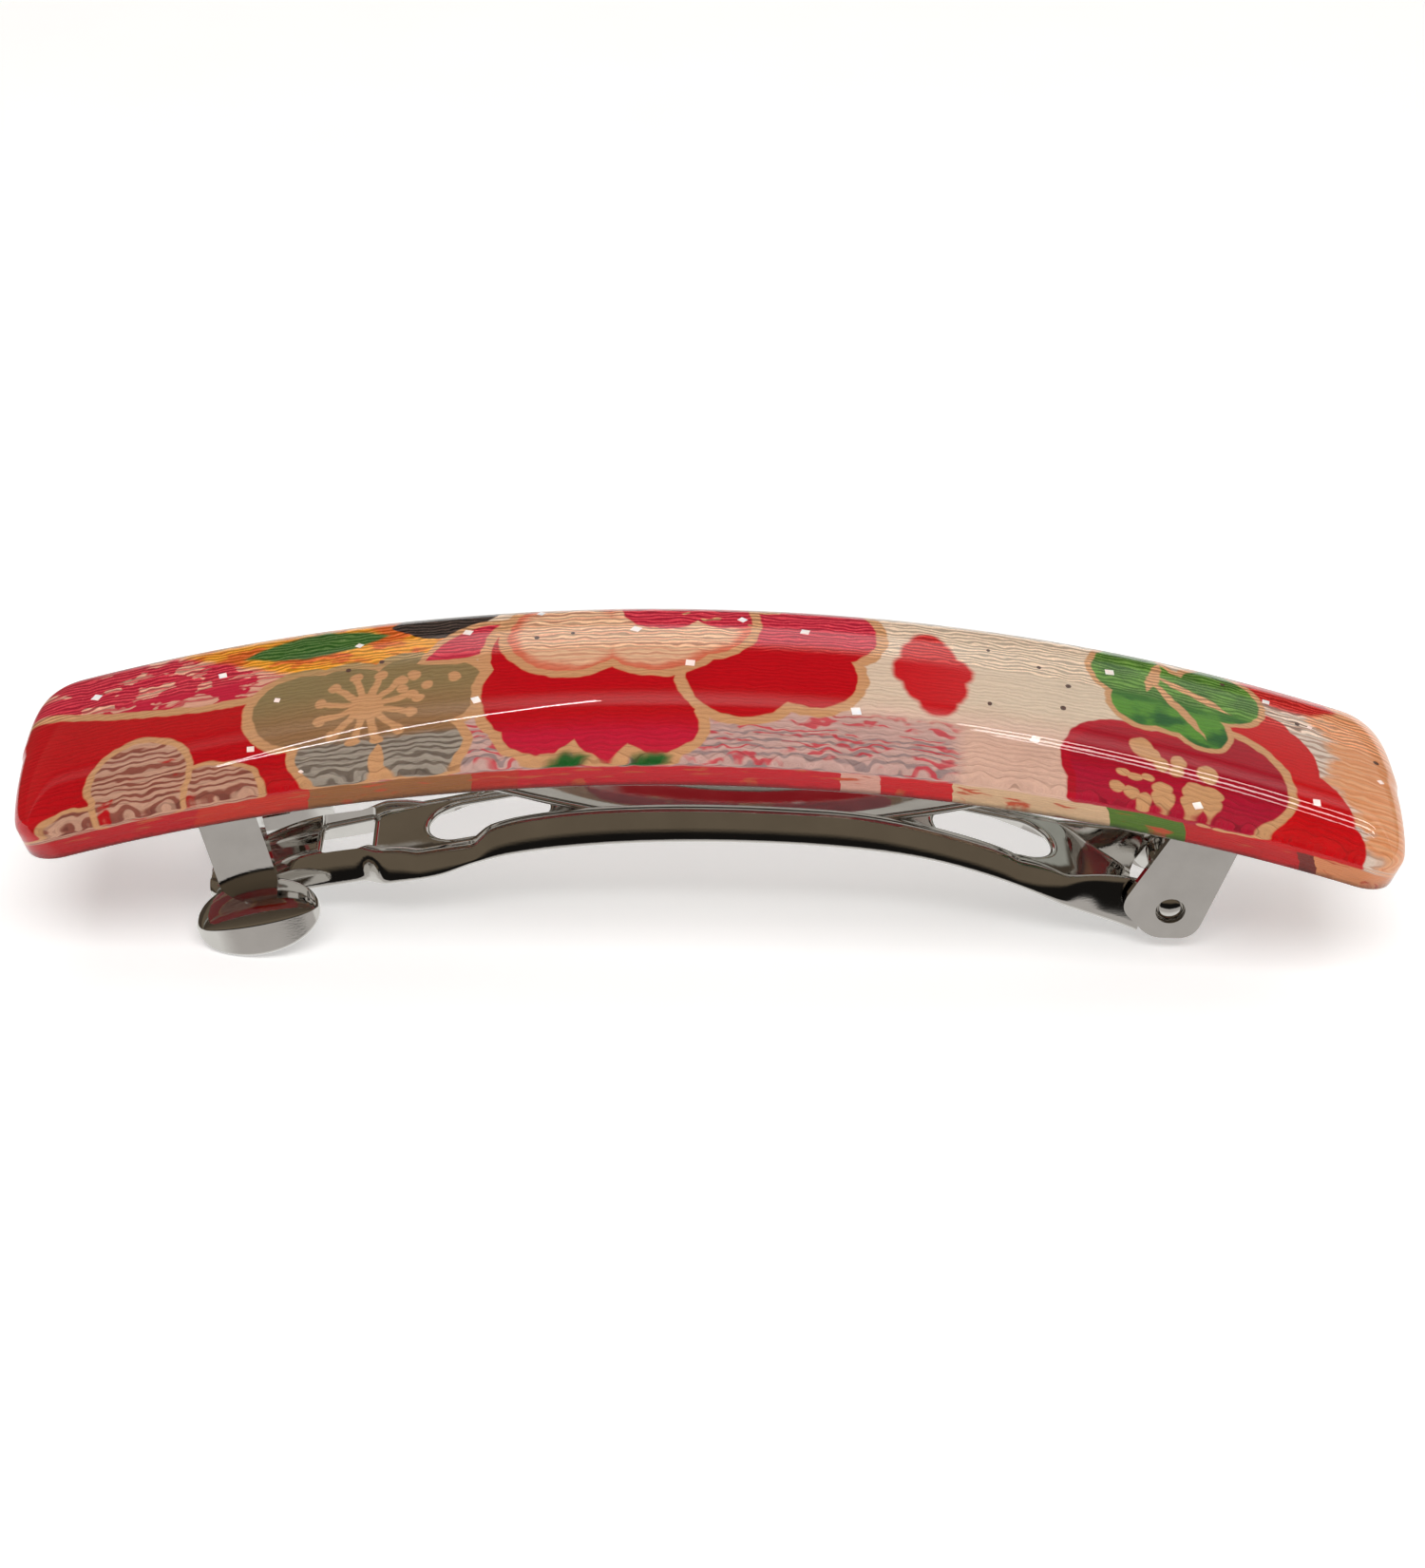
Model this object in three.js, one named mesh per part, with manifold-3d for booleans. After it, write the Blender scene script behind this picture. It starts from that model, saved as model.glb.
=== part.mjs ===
// Barrette: a clear resin bar with a printed crepe sheet cast inside, glued to a steel French clip.
// Millimetres. +X runs along the bar from the catch to the hinge, +Z points from the clip to the resin,
// and the origin is under the middle of the bar, level with the feet of the clip.

import * as THREE from 'three';
import { mergeVertices } from 'three/addons/utils/BufferGeometryUtils.js';
import Module from 'manifold-3d';

const wasm = await Module();
wasm.setup();

// Driving dimensions. Along-arc places s are measured on the underside of the resin, from its middle,
// and heights h are measured square to that arc, up from the underside.
const ARC_R = 149;
const BAR = { length: 102.6, width: 18.8, corner: 3.6, wall: 2.4, crown: 2.8, endRun: 4.4, power: 2.4 };
const LAYER_GAP = 0.1;
const BACKING = 0.5;
const FABRIC = { thickness: 0.3, inset: 0.35 };
const PAD = { halfLength: 38, width: 8.6, thickness: 0.22 };
const PLATE = { start: -39.6, end: 40.6, width: 9.3, thickness: 0.6, drop: 0.4 };
const EAR = { thickness: 0.55, hole: 1.12, outer: 4.7 };
const PIN = { x: 34.55, z: -13.56, r: 1.05, halfLength: 4.3, dome: 0.3 };
const LOOP = { s: 26.3, length: 1.6, halfWidth: 3.6, post: 0.4, depth: 1.0, strap: 0.4, inset: 0.05 };
const CATCH = { s: -36.8, width: 4.4, thickness: 0.55, bridge: 0.5, legEnd: -9.0, gap: 0.15 };
const PADDLE = { halfLength: 4.7, halfHeight: 2.9, dome: 1.2, sheet: 0.45, lean: 47, x: 0.3, z: -10.8 };
const TOOTH = { reach: 1.5, thickness: 0.5, end: -8.0 };
const RIVET = { shank: 0.7, hole: 0.8, head: 1.5, headHeight: 0.45 };
const SPRING = { middle: 1.8, width: 5.8, sheet: 0.3, proud: 0.02 };
const ARM = { sheet: 0.5, halfWidth: 4.25, neckHalf: 3.3, hingeHalf: 3.9, tipX: -38.2, knuckle: 2.1,
  proud: 0.03 };
const SLOT = { left: -16.6, right: 21.2, halfLength: 4.8, halfWidth: 2.6 };
const WINDOW = { x: -27.3, halfLength: 2.2, halfWidth: 2.5, corner: 0.5 };
const ARC_STEPS = 36;
const CURVE_STEPS = 44;
const CORNER_STEPS = 10;

// Shapes of the clip's stamped strips, as (s, h) points on smooth curves. Where the rail runs along the
// web, its edge lies inside the thickness of the web, so that the two solids join cleanly.
const WEB_LINE = [[-41.8, -10.8], [-36, -10.1], [-29, -9.5], [-22.5, -9.2], [-12.5, -8.2], [0, -7.95],
  [12, -8], [20, -8.3], [28, -9], [32, -10.6], [35.5, -11.9]];
const RAIL_TOP = [[-41.2, -11], [-36, -9.2], [-32, -8.4], [-27, -8.4], [-24.5, -8.6], [-21.5, -9.35],
  [-19.3, -8.7], [-17.2, -7.3], [-12.5, -6.5], [-6, -6.15], [6, -6.03], [12, -6.1], [18, -6.75], [23.5, -7.8],
  [26.2, -9], [29, -9.7], [32.5, -10.4], [35, -10.9]];
const RAIL_BOTTOM = [[-41.2, -11.15], [-36, -11.1], [-30, -11.15], [-26, -11], [-22, -10.8], [-18.9, -9.95],
  [-15.7, -9.35], [-8, -8.8], [2, -8.55], [11.5, -8.55], [17.4, -8.85], [24, -9.9], [30.7, -11.5],
  [35, -12.15]];
// The spring's leaf and the lower edge of its side lips, from its middle outwards.
const LEAF_LINE = [[0, -7.5], [8, -7], [13, -5.85], [18, -4.2], [23, -2.1], [26, -1.3], [28, -1.2]];
const LIP_LINE = [[0, -7.78], [5, -7.6], [8, -7.6], [13, -6.6], [18, -4.95], [22, -3.1], [24.6, -1.95]];

const LOOKS = {
  resin: { color: 0xf4e6e2, roughness: 0.05, metalness: 0.0 },
  fabric: { color: 0xb5202a, roughness: 0.8, metalness: 0.0 },
  glue: { color: 0xd8d2c4, roughness: 0.5, metalness: 0.0 },
  steel: { color: 0xc9c7c3, roughness: 0.12, metalness: 1.0 },
};

// ---- solids ----

function solidOf(geometry) {
  const bare = geometry.clone();
  bare.deleteAttribute('normal');
  bare.deleteAttribute('uv');
  const merged = mergeVertices(bare, 1e-5);
  return new wasm.Manifold(new wasm.Mesh({
    numProp: 3,
    vertProperties: new Float32Array(merged.attributes.position.array),
    triVerts: new Uint32Array(merged.index.array),
  }));
}

function geometryOf(solid) {
  const mesh = solid.getMesh();
  const geometry = new THREE.BufferGeometry();
  geometry.setAttribute('position', new THREE.BufferAttribute(mesh.vertProperties, 3));
  geometry.setIndex(new THREE.BufferAttribute(mesh.triVerts, 1));
  geometry.computeVertexNormals();
  return geometry;
}

function join(solids) {
  return solids.reduce((whole, piece) => whole.add(piece));
}

function box(sizeX, sizeY, sizeZ, x, y, z) {
  return solidOf(new THREE.BoxGeometry(sizeX, sizeY, sizeZ).translate(x, y, z));
}

function rodAlongY(radius, length, x, y, z) {
  return solidOf(new THREE.CylinderGeometry(radius, radius, length, 32).translate(x, y, z));
}

// A side view (x across, z up) pushed along Y from y0 to y1.
function sidePlate(shape, y0, y1) {
  const options = { depth: y1 - y0, bevelEnabled: false, curveSegments: CORNER_STEPS };
  const geometry = new THREE.ExtrudeGeometry(shape, options);
  return solidOf(geometry.rotateX(Math.PI / 2).translate(0, y1, 0));
}

// A top view (x across, y up the page) pushed down through everything.
function planPrism(shape) {
  const options = { depth: 40, bevelEnabled: false, curveSegments: CORNER_STEPS };
  const geometry = new THREE.ExtrudeGeometry(shape, options);
  return solidOf(geometry.translate(0, 0, -30));
}

// ---- places on the arc ----

function onArc(s, h) {
  const angle = s / ARC_R;
  return new THREE.Vector2((ARC_R + h) * Math.sin(angle), (ARC_R + h) * Math.cos(angle) - ARC_R);
}

function curveOnArc(points, drop = 0) {
  const curve = new THREE.SplineCurve(points.map(([s, h]) => new THREE.Vector2(s, h)));
  return curve.getPoints(CURVE_STEPS).map((p) => onArc(p.x, p.y - drop));
}

// The closed side view between an upper and a lower line.
function between(upper, lower) {
  return new THREE.Shape([...upper, ...[...lower].reverse()]);
}

function arcStrip(start, end, top, bottom) {
  const places = Array.from({ length: ARC_STEPS + 1 }, (_, i) => start + ((end - start) * i) / ARC_STEPS);
  return between(places.map((s) => onArc(s, top)), places.map((s) => onArc(s, bottom)));
}

// ---- resin bar ----

function halfWidthAt(s, inset) {
  const past = Math.max(0, Math.abs(s) - (BAR.length / 2 - BAR.corner));
  return BAR.width / 2 - BAR.corner + Math.sqrt(Math.max(0, BAR.corner ** 2 - past ** 2)) - inset;
}

// A box whose grid is pulled onto the bar's outline, its domed top and its arc.
function bentSlab(inset, bottom, topAt, widthSteps) {
  const geometry = new THREE.BoxGeometry(2, 2, 1, ARC_STEPS, widthSteps, 1);
  const place = geometry.attributes.position;
  for (let i = 0; i < place.count; i += 1) {
    const s = (BAR.length / 2) * Math.sin((place.getX(i) * Math.PI) / 2);
    const across = Math.sin((place.getY(i) * Math.PI) / 2);
    const h = place.getZ(i) < 0 ? bottom : topAt(s, across);
    const shortened = s * (1 - (2 * inset) / BAR.length);
    const point = onArc(shortened, h);
    place.setXYZ(i, point.x, across * halfWidthAt(s, inset), point.y);
  }
  return solidOf(geometry);
}

function fallOff(t) {
  return (1 - Math.min(1, Math.abs(t)) ** BAR.power) ** (1 / BAR.power);
}

function domeTop(s, across) {
  const past = Math.max(0, Math.abs(s) - (BAR.length / 2 - BAR.endRun)) / BAR.endRun;
  return BAR.wall + BAR.crown * fallOff(across) * fallOff(past);
}

const fabricBottom = BACKING + LAYER_GAP;
const fabricTop = fabricBottom + FABRIC.thickness;

function resinDome() {
  const hollow = fabricTop + LAYER_GAP;
  return bentSlab(0, hollow, domeTop, 16);
}

function fabricSheet() {
  return bentSlab(FABRIC.inset, fabricBottom, () => fabricTop, 2);
}

function resinBacking() {
  return bentSlab(0, 0, () => BACKING, 2);
}

function adhesivePad() {
  const top = -0.08;
  const strip = arcStrip(-PAD.halfLength, PAD.halfLength, top, top - PAD.thickness);
  return sidePlate(strip, -PAD.width / 2, PAD.width / 2);
}

// ---- base plate with hinge ears and spring loops ----

function earShape() {
  const shape = new THREE.Shape();
  const innerTop = onArc(35.4, -PLATE.drop - PLATE.thickness / 2);
  const outerTop = onArc(PLATE.end - 0.3, -PLATE.drop - PLATE.thickness / 2);
  shape.moveTo(innerTop.x, innerTop.y);
  shape.lineTo(PIN.x - 3.3, PIN.z + 1.4);
  shape.quadraticCurveTo(PIN.x - 3.9, PIN.z + 0.1, PIN.x - 3, PIN.z - 0.7);
  shape.lineTo(PIN.x - 2, PIN.z - 1.8);
  shape.quadraticCurveTo(PIN.x - 1.3, PIN.z - 2.5, PIN.x - 0.3, PIN.z - 2.5);
  shape.lineTo(PIN.x + 0.9, PIN.z - 2.5);
  shape.quadraticCurveTo(PIN.x + 2, PIN.z - 2.4, PIN.x + 2.4, PIN.z - 1.2);
  shape.lineTo(outerTop.x, outerTop.y);
  return shape;
}

// A strap on two posts; the posts stand just inside the strap's edges.
function springLoop(side) {
  const plateFace = -PLATE.drop - PLATE.thickness;
  const strapTop = plateFace - LOOP.depth;
  const s = SPRING.middle + side * LOOP.s;
  const middle = onArc(s, 0);
  const postHeight = LOOP.depth + LOOP.strap / 2 + PLATE.thickness / 2;
  const postZ = plateFace + PLATE.thickness / 2 - postHeight / 2;
  const postY = LOOP.halfWidth - LOOP.inset - LOOP.post / 2;
  const post = (y) => box(LOOP.length - 2 * LOOP.inset, LOOP.post, postHeight, 0, y, postZ);
  const strap = box(LOOP.length, 2 * LOOP.halfWidth, LOOP.strap, 0, 0, strapTop - LOOP.strap / 2);
  const tilt = THREE.MathUtils.radToDeg(s / ARC_R);
  return join([strap, post(-postY), post(postY)]).rotate([0, tilt, 0]).translate([middle.x, 0, middle.y]);
}

function basePlate() {
  const half = PLATE.width / 2;
  const strip = arcStrip(PLATE.start, PLATE.end, -PLATE.drop, -PLATE.drop - PLATE.thickness);
  const solid = join([
    sidePlate(strip, -half, half),
    sidePlate(earShape(), -EAR.outer, -EAR.outer + EAR.thickness),
    sidePlate(earShape(), EAR.outer - EAR.thickness, EAR.outer),
    springLoop(-1),
    springLoop(1),
  ]);
  const rivetPlace = onArc(CATCH.s, 0);
  const rivetHole = solidOf(new THREE.CylinderGeometry(RIVET.hole, RIVET.hole, 6, 24)
    .rotateX(Math.PI / 2)
    .rotateY(CATCH.s / ARC_R)
    .translate(rivetPlace.x, 0, rivetPlace.y));
  return solid.subtract(rivetHole).subtract(rodAlongY(EAR.hole, PLATE.width + 1, PIN.x, 0, PIN.z));
}

function hingePin() {
  const profile = [new THREE.Vector2(0, -PIN.halfLength - PIN.dome)];
  profile.push(new THREE.Vector2(PIN.r * 0.7, -PIN.halfLength - PIN.dome * 0.6));
  profile.push(new THREE.Vector2(PIN.r, -PIN.halfLength));
  profile.push(...profile.map((p) => new THREE.Vector2(p.x, -p.y)).reverse());
  return solidOf(new THREE.LatheGeometry(profile, 32).translate(PIN.x, 0, PIN.z));
}

// ---- catch, in its own frame: x along the bar, y across it, z square to the arc ----

function catchBridge() {
  const top = -PLATE.drop - PLATE.thickness - CATCH.gap;
  const reach = EAR.outer - CATCH.thickness - CATCH.gap;
  const strap = box(CATCH.width, 2 * reach, CATCH.bridge, 0, 0, top - CATCH.bridge / 2);
  const hole = solidOf(new THREE.CylinderGeometry(RIVET.hole, RIVET.hole, 6, 24).rotateX(Math.PI / 2));
  return strap.subtract(hole);
}

function catchRivet() {
  const top = -PLATE.drop - 0.05;
  const seat = -PLATE.drop - PLATE.thickness - CATCH.gap - CATCH.bridge - CATCH.gap;
  const profile = [
    new THREE.Vector2(0, seat - RIVET.headHeight),
    new THREE.Vector2(RIVET.head * 0.75, seat - RIVET.headHeight * 0.75),
    new THREE.Vector2(RIVET.head, seat),
    new THREE.Vector2(RIVET.shank, seat),
    new THREE.Vector2(RIVET.shank, top),
    new THREE.Vector2(0, top),
  ];
  return solidOf(new THREE.LatheGeometry(profile, 24).rotateX(Math.PI / 2));
}

// The domed finger pad: a shallow cap of bent sheet that leans out from the foot of the leg.
function paddle() {
  const outer = new THREE.SphereGeometry(1, 24, 10).scale(PADDLE.halfLength, PADDLE.halfHeight, PADDLE.dome);
  const inner = new THREE.SphereGeometry(1, 24, 10).scale(
    PADDLE.halfLength - PADDLE.sheet, PADDLE.halfHeight - PADDLE.sheet, PADDLE.dome - PADDLE.sheet);
  const below = box(12, 12, 4, 0, 0, -2);
  const cap = solidOf(outer).subtract(solidOf(inner)).subtract(below);
  const lean = PADDLE.lean;
  const across = EAR.outer + PADDLE.halfHeight * Math.cos(THREE.MathUtils.degToRad(lean)) - 0.35;
  return cap.rotate([lean, 0, 0]).translate([PADDLE.x, -across, PADDLE.z]);
}

function tooth() {
  const inner = EAR.outer - CATCH.thickness;
  const top = -PLATE.drop - PLATE.thickness - CATCH.bridge - 3 * CATCH.gap;
  const shape = new THREE.Shape([
    new THREE.Vector2(-inner - 0.1, top),
    new THREE.Vector2(-inner + TOOTH.reach, top),
    new THREE.Vector2(-inner + 0.1, TOOTH.end),
    new THREE.Vector2(-inner - 0.1, TOOTH.end),
  ]);
  const geometry = new THREE.ExtrudeGeometry(shape, { depth: TOOTH.thickness, bevelEnabled: false });
  // The page's x becomes y and its y becomes z, so the tab stands square to the leg.
  geometry.rotateX(Math.PI / 2).rotateZ(Math.PI / 2);
  return solidOf(geometry.translate(CATCH.width / 2 - TOOTH.thickness, 0, 0));
}

function catchLeg() {
  const outer = EAR.outer;
  const top = -PLATE.drop - PLATE.thickness - CATCH.gap;
  const plate = box(CATCH.width, CATCH.thickness, top - CATCH.legEnd,
    0, -outer + CATCH.thickness / 2, (top + CATCH.legEnd) / 2);
  return join([plate, tooth(), paddle()]);
}

// ---- tension spring and locking arm ----

// Both halves of a line that is given from the spring's middle outwards.
function bothSides(line) {
  const right = line.slice(1).map(([s, h]) => [SPRING.middle + s, h]);
  const left = line.map(([s, h]) => [SPRING.middle - s, h]).reverse();
  return [...left, ...right];
}

function tensionSpring() {
  const half = SPRING.width / 2;
  const lip = half + SPRING.proud;
  const line = bothSides(LEAF_LINE);
  const inLeaf = bothSides(LEAF_LINE.slice(0, -1)).map(([s, h]) => [s, h - SPRING.sheet / 2]);
  const leaf = between(curveOnArc(line), curveOnArc(line, SPRING.sheet));
  const lipBand = between(curveOnArc(inLeaf), curveOnArc(bothSides(LIP_LINE)));
  return join([
    sidePlate(leaf, -half, half),
    sidePlate(lipBand, -lip, -lip + SPRING.sheet),
    sidePlate(lipBand, lip - SPRING.sheet, lip),
  ]);
}

function armOutline(inset) {
  const neck = ARM.neckHalf - inset;
  const full = ARM.halfWidth - inset;
  const hinge = ARM.hingeHalf - inset;
  const shape = new THREE.Shape();
  shape.moveTo(PIN.x + 3, -hinge);
  shape.lineTo(PIN.x + 3, hinge);
  shape.lineTo(29.5, hinge);
  shape.lineTo(26.5, full);
  shape.lineTo(-24.6, full);
  shape.lineTo(-26.2, neck);
  shape.lineTo(ARM.tipX + neck + inset, neck);
  shape.absarc(ARM.tipX + neck + inset, 0, neck, Math.PI / 2, (3 * Math.PI) / 2, false);
  shape.lineTo(-26.2, -neck);
  shape.lineTo(-24.6, -full);
  shape.lineTo(26.5, -full);
  shape.lineTo(29.5, -hinge);
  return shape;
}

function slotShape(x) {
  const run = SLOT.halfLength - SLOT.halfWidth;
  const shape = new THREE.Shape();
  shape.absarc(x + run, 0, SLOT.halfWidth, -Math.PI / 2, Math.PI / 2, false);
  shape.absarc(x - run, 0, SLOT.halfWidth, Math.PI / 2, (3 * Math.PI) / 2, false);
  return shape;
}

function windowShape() {
  const { x, halfLength, halfWidth, corner } = WINDOW;
  const shape = new THREE.Shape();
  shape.absarc(x + halfLength - corner, halfWidth - corner, corner, 0, Math.PI / 2, false);
  shape.absarc(x - halfLength + corner, halfWidth - corner, corner, Math.PI / 2, Math.PI, false);
  shape.absarc(x - halfLength + corner, corner - halfWidth, corner, Math.PI, 1.5 * Math.PI, false);
  shape.absarc(x + halfLength - corner, corner - halfWidth, corner, 1.5 * Math.PI, 2 * Math.PI, false);
  return shape;
}

// The arm's two knuckles stand up from its web and turn on the pin.
function knuckles() {
  const shape = new THREE.Shape();
  shape.absarc(PIN.x, PIN.z, ARM.knuckle, -Math.PI / 2, Math.PI * 0.75, false);
  shape.lineTo(PIN.x - 4.6, PIN.z + 0.1);
  shape.lineTo(PIN.x - 3.6, PIN.z - ARM.knuckle);
  return [-1, 1].map((side) => {
    const outer = side * (ARM.hingeHalf + 2 * ARM.proud);
    const inner = side * (ARM.hingeHalf - ARM.sheet - ARM.proud);
    return sidePlate(shape, Math.min(outer, inner), Math.max(outer, inner));
  });
}

function lockingArm() {
  const reach = 6;
  const web = sidePlate(between(curveOnArc(WEB_LINE), curveOnArc(WEB_LINE, ARM.sheet)), -reach, reach);
  const band = sidePlate(between(curveOnArc(RAIL_TOP), curveOnArc(RAIL_BOTTOM)), -reach, reach);
  const outline = planPrism(armOutline(0));
  const rim = planPrism(armOutline(-ARM.proud)).subtract(planPrism(armOutline(ARM.sheet)));
  const strip = join([web.intersect(outline), band.intersect(rim)]);
  const holes = [slotShape(SLOT.left), slotShape(SLOT.right), windowShape()].map(planPrism);
  const bored = join([holes.reduce((solid, hole) => solid.subtract(hole), strip), ...knuckles()]);
  return bored.subtract(rodAlongY(EAR.hole, 12, PIN.x, 0, PIN.z));
}

// ---- assembly ----

function node(name, solid, look) {
  const mesh = new THREE.Mesh(geometryOf(solid), new THREE.MeshStandardMaterial(LOOKS[look]));
  mesh.name = name;
  return mesh;
}

function catchGroup() {
  const group = new THREE.Group();
  const place = onArc(CATCH.s, 0);
  group.position.set(place.x, 0, place.y);
  group.rotation.y = CATCH.s / ARC_R;
  const front = catchLeg();
  group.add(node('catch_bridge', catchBridge(), 'steel'));
  group.add(node('catch_rivet', catchRivet(), 'steel'));
  group.add(node('catch_leg_front', front, 'steel'));
  group.add(node('catch_leg_rear', front.mirror([0, 1, 0]), 'steel'));
  return group;
}

const barrette = new THREE.Group();
barrette.add(
  node('resin_dome', resinDome(), 'resin'),
  node('fabric_sheet', fabricSheet(), 'fabric'),
  node('resin_backing', resinBacking(), 'resin'),
  node('adhesive_pad', adhesivePad(), 'glue'),
  node('base_plate', basePlate(), 'steel'),
  node('hinge_pin', hingePin(), 'steel'),
  catchGroup(),
  node('tension_spring', tensionSpring(), 'steel'),
  node('locking_arm', lockingArm(), 'steel'),
);
barrette.updateMatrixWorld(true);
barrette.position.z = -new THREE.Box3().setFromObject(barrette, true).min.z;

export default barrette;
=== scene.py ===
import math

import bmesh
import bpy
from mathutils import Matrix, Vector, noise


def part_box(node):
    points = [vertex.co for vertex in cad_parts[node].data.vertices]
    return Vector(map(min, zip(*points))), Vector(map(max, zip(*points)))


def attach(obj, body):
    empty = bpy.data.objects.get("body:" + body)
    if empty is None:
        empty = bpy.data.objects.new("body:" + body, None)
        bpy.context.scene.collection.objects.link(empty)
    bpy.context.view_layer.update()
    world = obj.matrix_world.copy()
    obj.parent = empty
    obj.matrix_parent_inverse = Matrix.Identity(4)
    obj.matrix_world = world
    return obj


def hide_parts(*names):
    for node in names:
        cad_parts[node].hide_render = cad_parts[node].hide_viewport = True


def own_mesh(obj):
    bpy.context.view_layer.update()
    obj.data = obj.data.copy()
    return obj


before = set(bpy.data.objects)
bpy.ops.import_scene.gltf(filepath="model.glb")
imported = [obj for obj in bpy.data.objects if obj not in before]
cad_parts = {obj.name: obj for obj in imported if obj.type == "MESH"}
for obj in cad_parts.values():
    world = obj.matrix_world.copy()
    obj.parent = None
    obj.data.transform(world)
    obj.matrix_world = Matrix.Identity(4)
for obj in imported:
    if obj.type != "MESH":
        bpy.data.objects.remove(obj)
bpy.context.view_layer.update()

MM = 0.001

# The bar, in millimetres. s runs along the arc of its underside and h stands square to it.
ARC_RADIUS = 149
LENGTH = 102.6
WIDTH = 18.8
CORNER = 3.6
THICKNESS = 5.2
NEAR_SIDE = {"wall": 1.9, "roundness": 2.1}
FAR_SIDE = {"wall": 2.4, "roundness": 2.4}
END_RUN = 4.4
ROUNDNESS = 2.4
EDGE_ROUND = 0.18
END_SHARE = 0.12
BAR_STEPS = (300, 72)
CLOTH = {"low": 0.32, "thickness": 0.26, "inset": 0.26, "sag": 0.22}
CLOTH_STEPS = (400, 84)
# Crinkles of the cloth, as (depth, rate along, rate across, layer of the noise).
CRINKLES = [(0.035, 0.9, 2.4, 0), (0.05, 0.25, 0.5, 7)]
# Height of the bar's underside above the floor at its middle.
UNDERSIDE_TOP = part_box("resin_backing")[1].z / MM - 0.5


def on_arc(s, y, h):
    """The point at s along the arc, y across it and h above it, in millimetres."""
    angle = s / ARC_RADIUS
    radius = ARC_RADIUS + h
    return Vector((radius * math.sin(angle), y, UNDERSIDE_TOP + radius * math.cos(angle) - ARC_RADIUS))


def rounded(t, roundness=ROUNDNESS):
    """Height of a unit superellipse at t from its centre."""
    return max(0.0, 1 - min(1, abs(t)) ** roundness) ** (1 / roundness)


def spread(u):
    """Runs from -1 to 1 as u runs from 0 to 1, in steps that close up towards both ends."""
    angle = math.pi * (u - 0.5)
    return math.copysign(abs(math.sin(angle)) ** (2 / ROUNDNESS), angle)


def half_width(s):
    """Half the bar's width at s, round its corners in plan."""
    past = max(0, abs(s) - (LENGTH / 2 - CORNER))
    past = min(past, CORNER)
    return WIDTH / 2 - CORNER + math.sqrt(CORNER**2 - past**2)


def station(u):
    """The place along the arc for u from 0 to 1, with the steps closing up over both ends."""
    straight = LENGTH / 2 - END_RUN
    if END_SHARE < u < 1 - END_SHARE:
        return straight * (2 * (u - END_SHARE) / (1 - 2 * END_SHARE) - 1)
    t = (END_SHARE - u) / END_SHARE if u <= END_SHARE else (u - 1 + END_SHARE) / END_SHARE
    run = END_RUN * math.sin(t * math.pi / 2) ** (2 / ROUNDNESS)
    return math.copysign(straight + run, u - 0.5)


def lattice_skin(name, steps, place):
    """A closed skin over a block of steps cells; place(u, v, w) gives each point in millimetres."""
    ni, nj, nk = steps
    index, points = {}, []
    for i in range(ni + 1):
        for j in range(nj + 1):
            for k in range(nk + 1):
                if i in (0, ni) or j in (0, nj) or k in (0, nk):
                    index[i, j, k] = len(points)
                    points.append(place(i / ni, j / nj, k / nk) * MM)
    corners = []
    for i in range(ni):
        for j in range(nj):
            corners.append([(i, j, 0), (i, j + 1, 0), (i + 1, j + 1, 0), (i + 1, j, 0)])
            corners.append([(i, j, nk), (i + 1, j, nk), (i + 1, j + 1, nk), (i, j + 1, nk)])
        for k in range(nk):
            corners.append([(i, 0, k), (i + 1, 0, k), (i + 1, 0, k + 1), (i, 0, k + 1)])
            corners.append([(i, nj, k), (i, nj, k + 1), (i + 1, nj, k + 1), (i + 1, nj, k)])
    for j in range(nj):
        for k in range(nk):
            corners.append([(0, j, k), (0, j, k + 1), (0, j + 1, k + 1), (0, j + 1, k)])
            corners.append([(ni, j, k), (ni, j + 1, k), (ni, j + 1, k + 1), (ni, j, k + 1)])
    return new_piece(name, points, [[index[c] for c in face] for face in corners])


def placed(name, data):
    """A new object in the scene, for a mesh, a lamp or a camera."""
    thing = bpy.data.objects.new(name, data)
    bpy.context.scene.collection.objects.link(thing)
    return thing


def new_piece(name, points, faces, smooth=True):
    """A mesh object from points in metres and lists of corners."""
    mesh = bpy.data.meshes.new(name)
    mesh.from_pydata(points, [], faces)
    mesh.update()
    for polygon in mesh.polygons:
        polygon.use_smooth = smooth
    return placed(name, mesh)


def closed_piece(name, points, faces):
    """A mesh object whose meeting points are joined and whose faces all turn outwards."""
    piece = new_piece(name, points, faces)
    work = bmesh.new()
    work.from_mesh(piece.data)
    bmesh.ops.remove_doubles(work, verts=work.verts, dist=0.001 * MM)
    bmesh.ops.recalc_face_normals(work, faces=work.faces)
    work.to_mesh(piece.data)
    work.free()
    return piece


# ---------------- resin bar, cloth and glitter


def resin_bar():
    """The cast bar in one piece: flat arched underside, rounded lower edge, domed top."""
    round_steps = 4
    top_level = round_steps + 1

    def place(u, v, w):
        s = station(u)
        half = half_width(s)
        y = half * spread(v)
        level = round(w * top_level)
        if level == top_level:
            side = NEAR_SIDE if y < 0 else FAR_SIDE
            past = max(0, abs(s) - (LENGTH / 2 - END_RUN)) / END_RUN
            crown = (THICKNESS - side["wall"]) * rounded(y / half, side["roundness"]) * rounded(past)
            return on_arc(s, y, side["wall"] + crown)
        angle = level / round_steps * math.pi / 2
        inset = EDGE_ROUND * (1 - math.sin(angle))
        h = EDGE_ROUND * (1 - math.cos(angle))
        return on_arc(s * (1 - 2 * inset / LENGTH), y * (1 - inset / half), h)

    return lattice_skin("resin_bar", (*BAR_STEPS, top_level), place)


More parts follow.
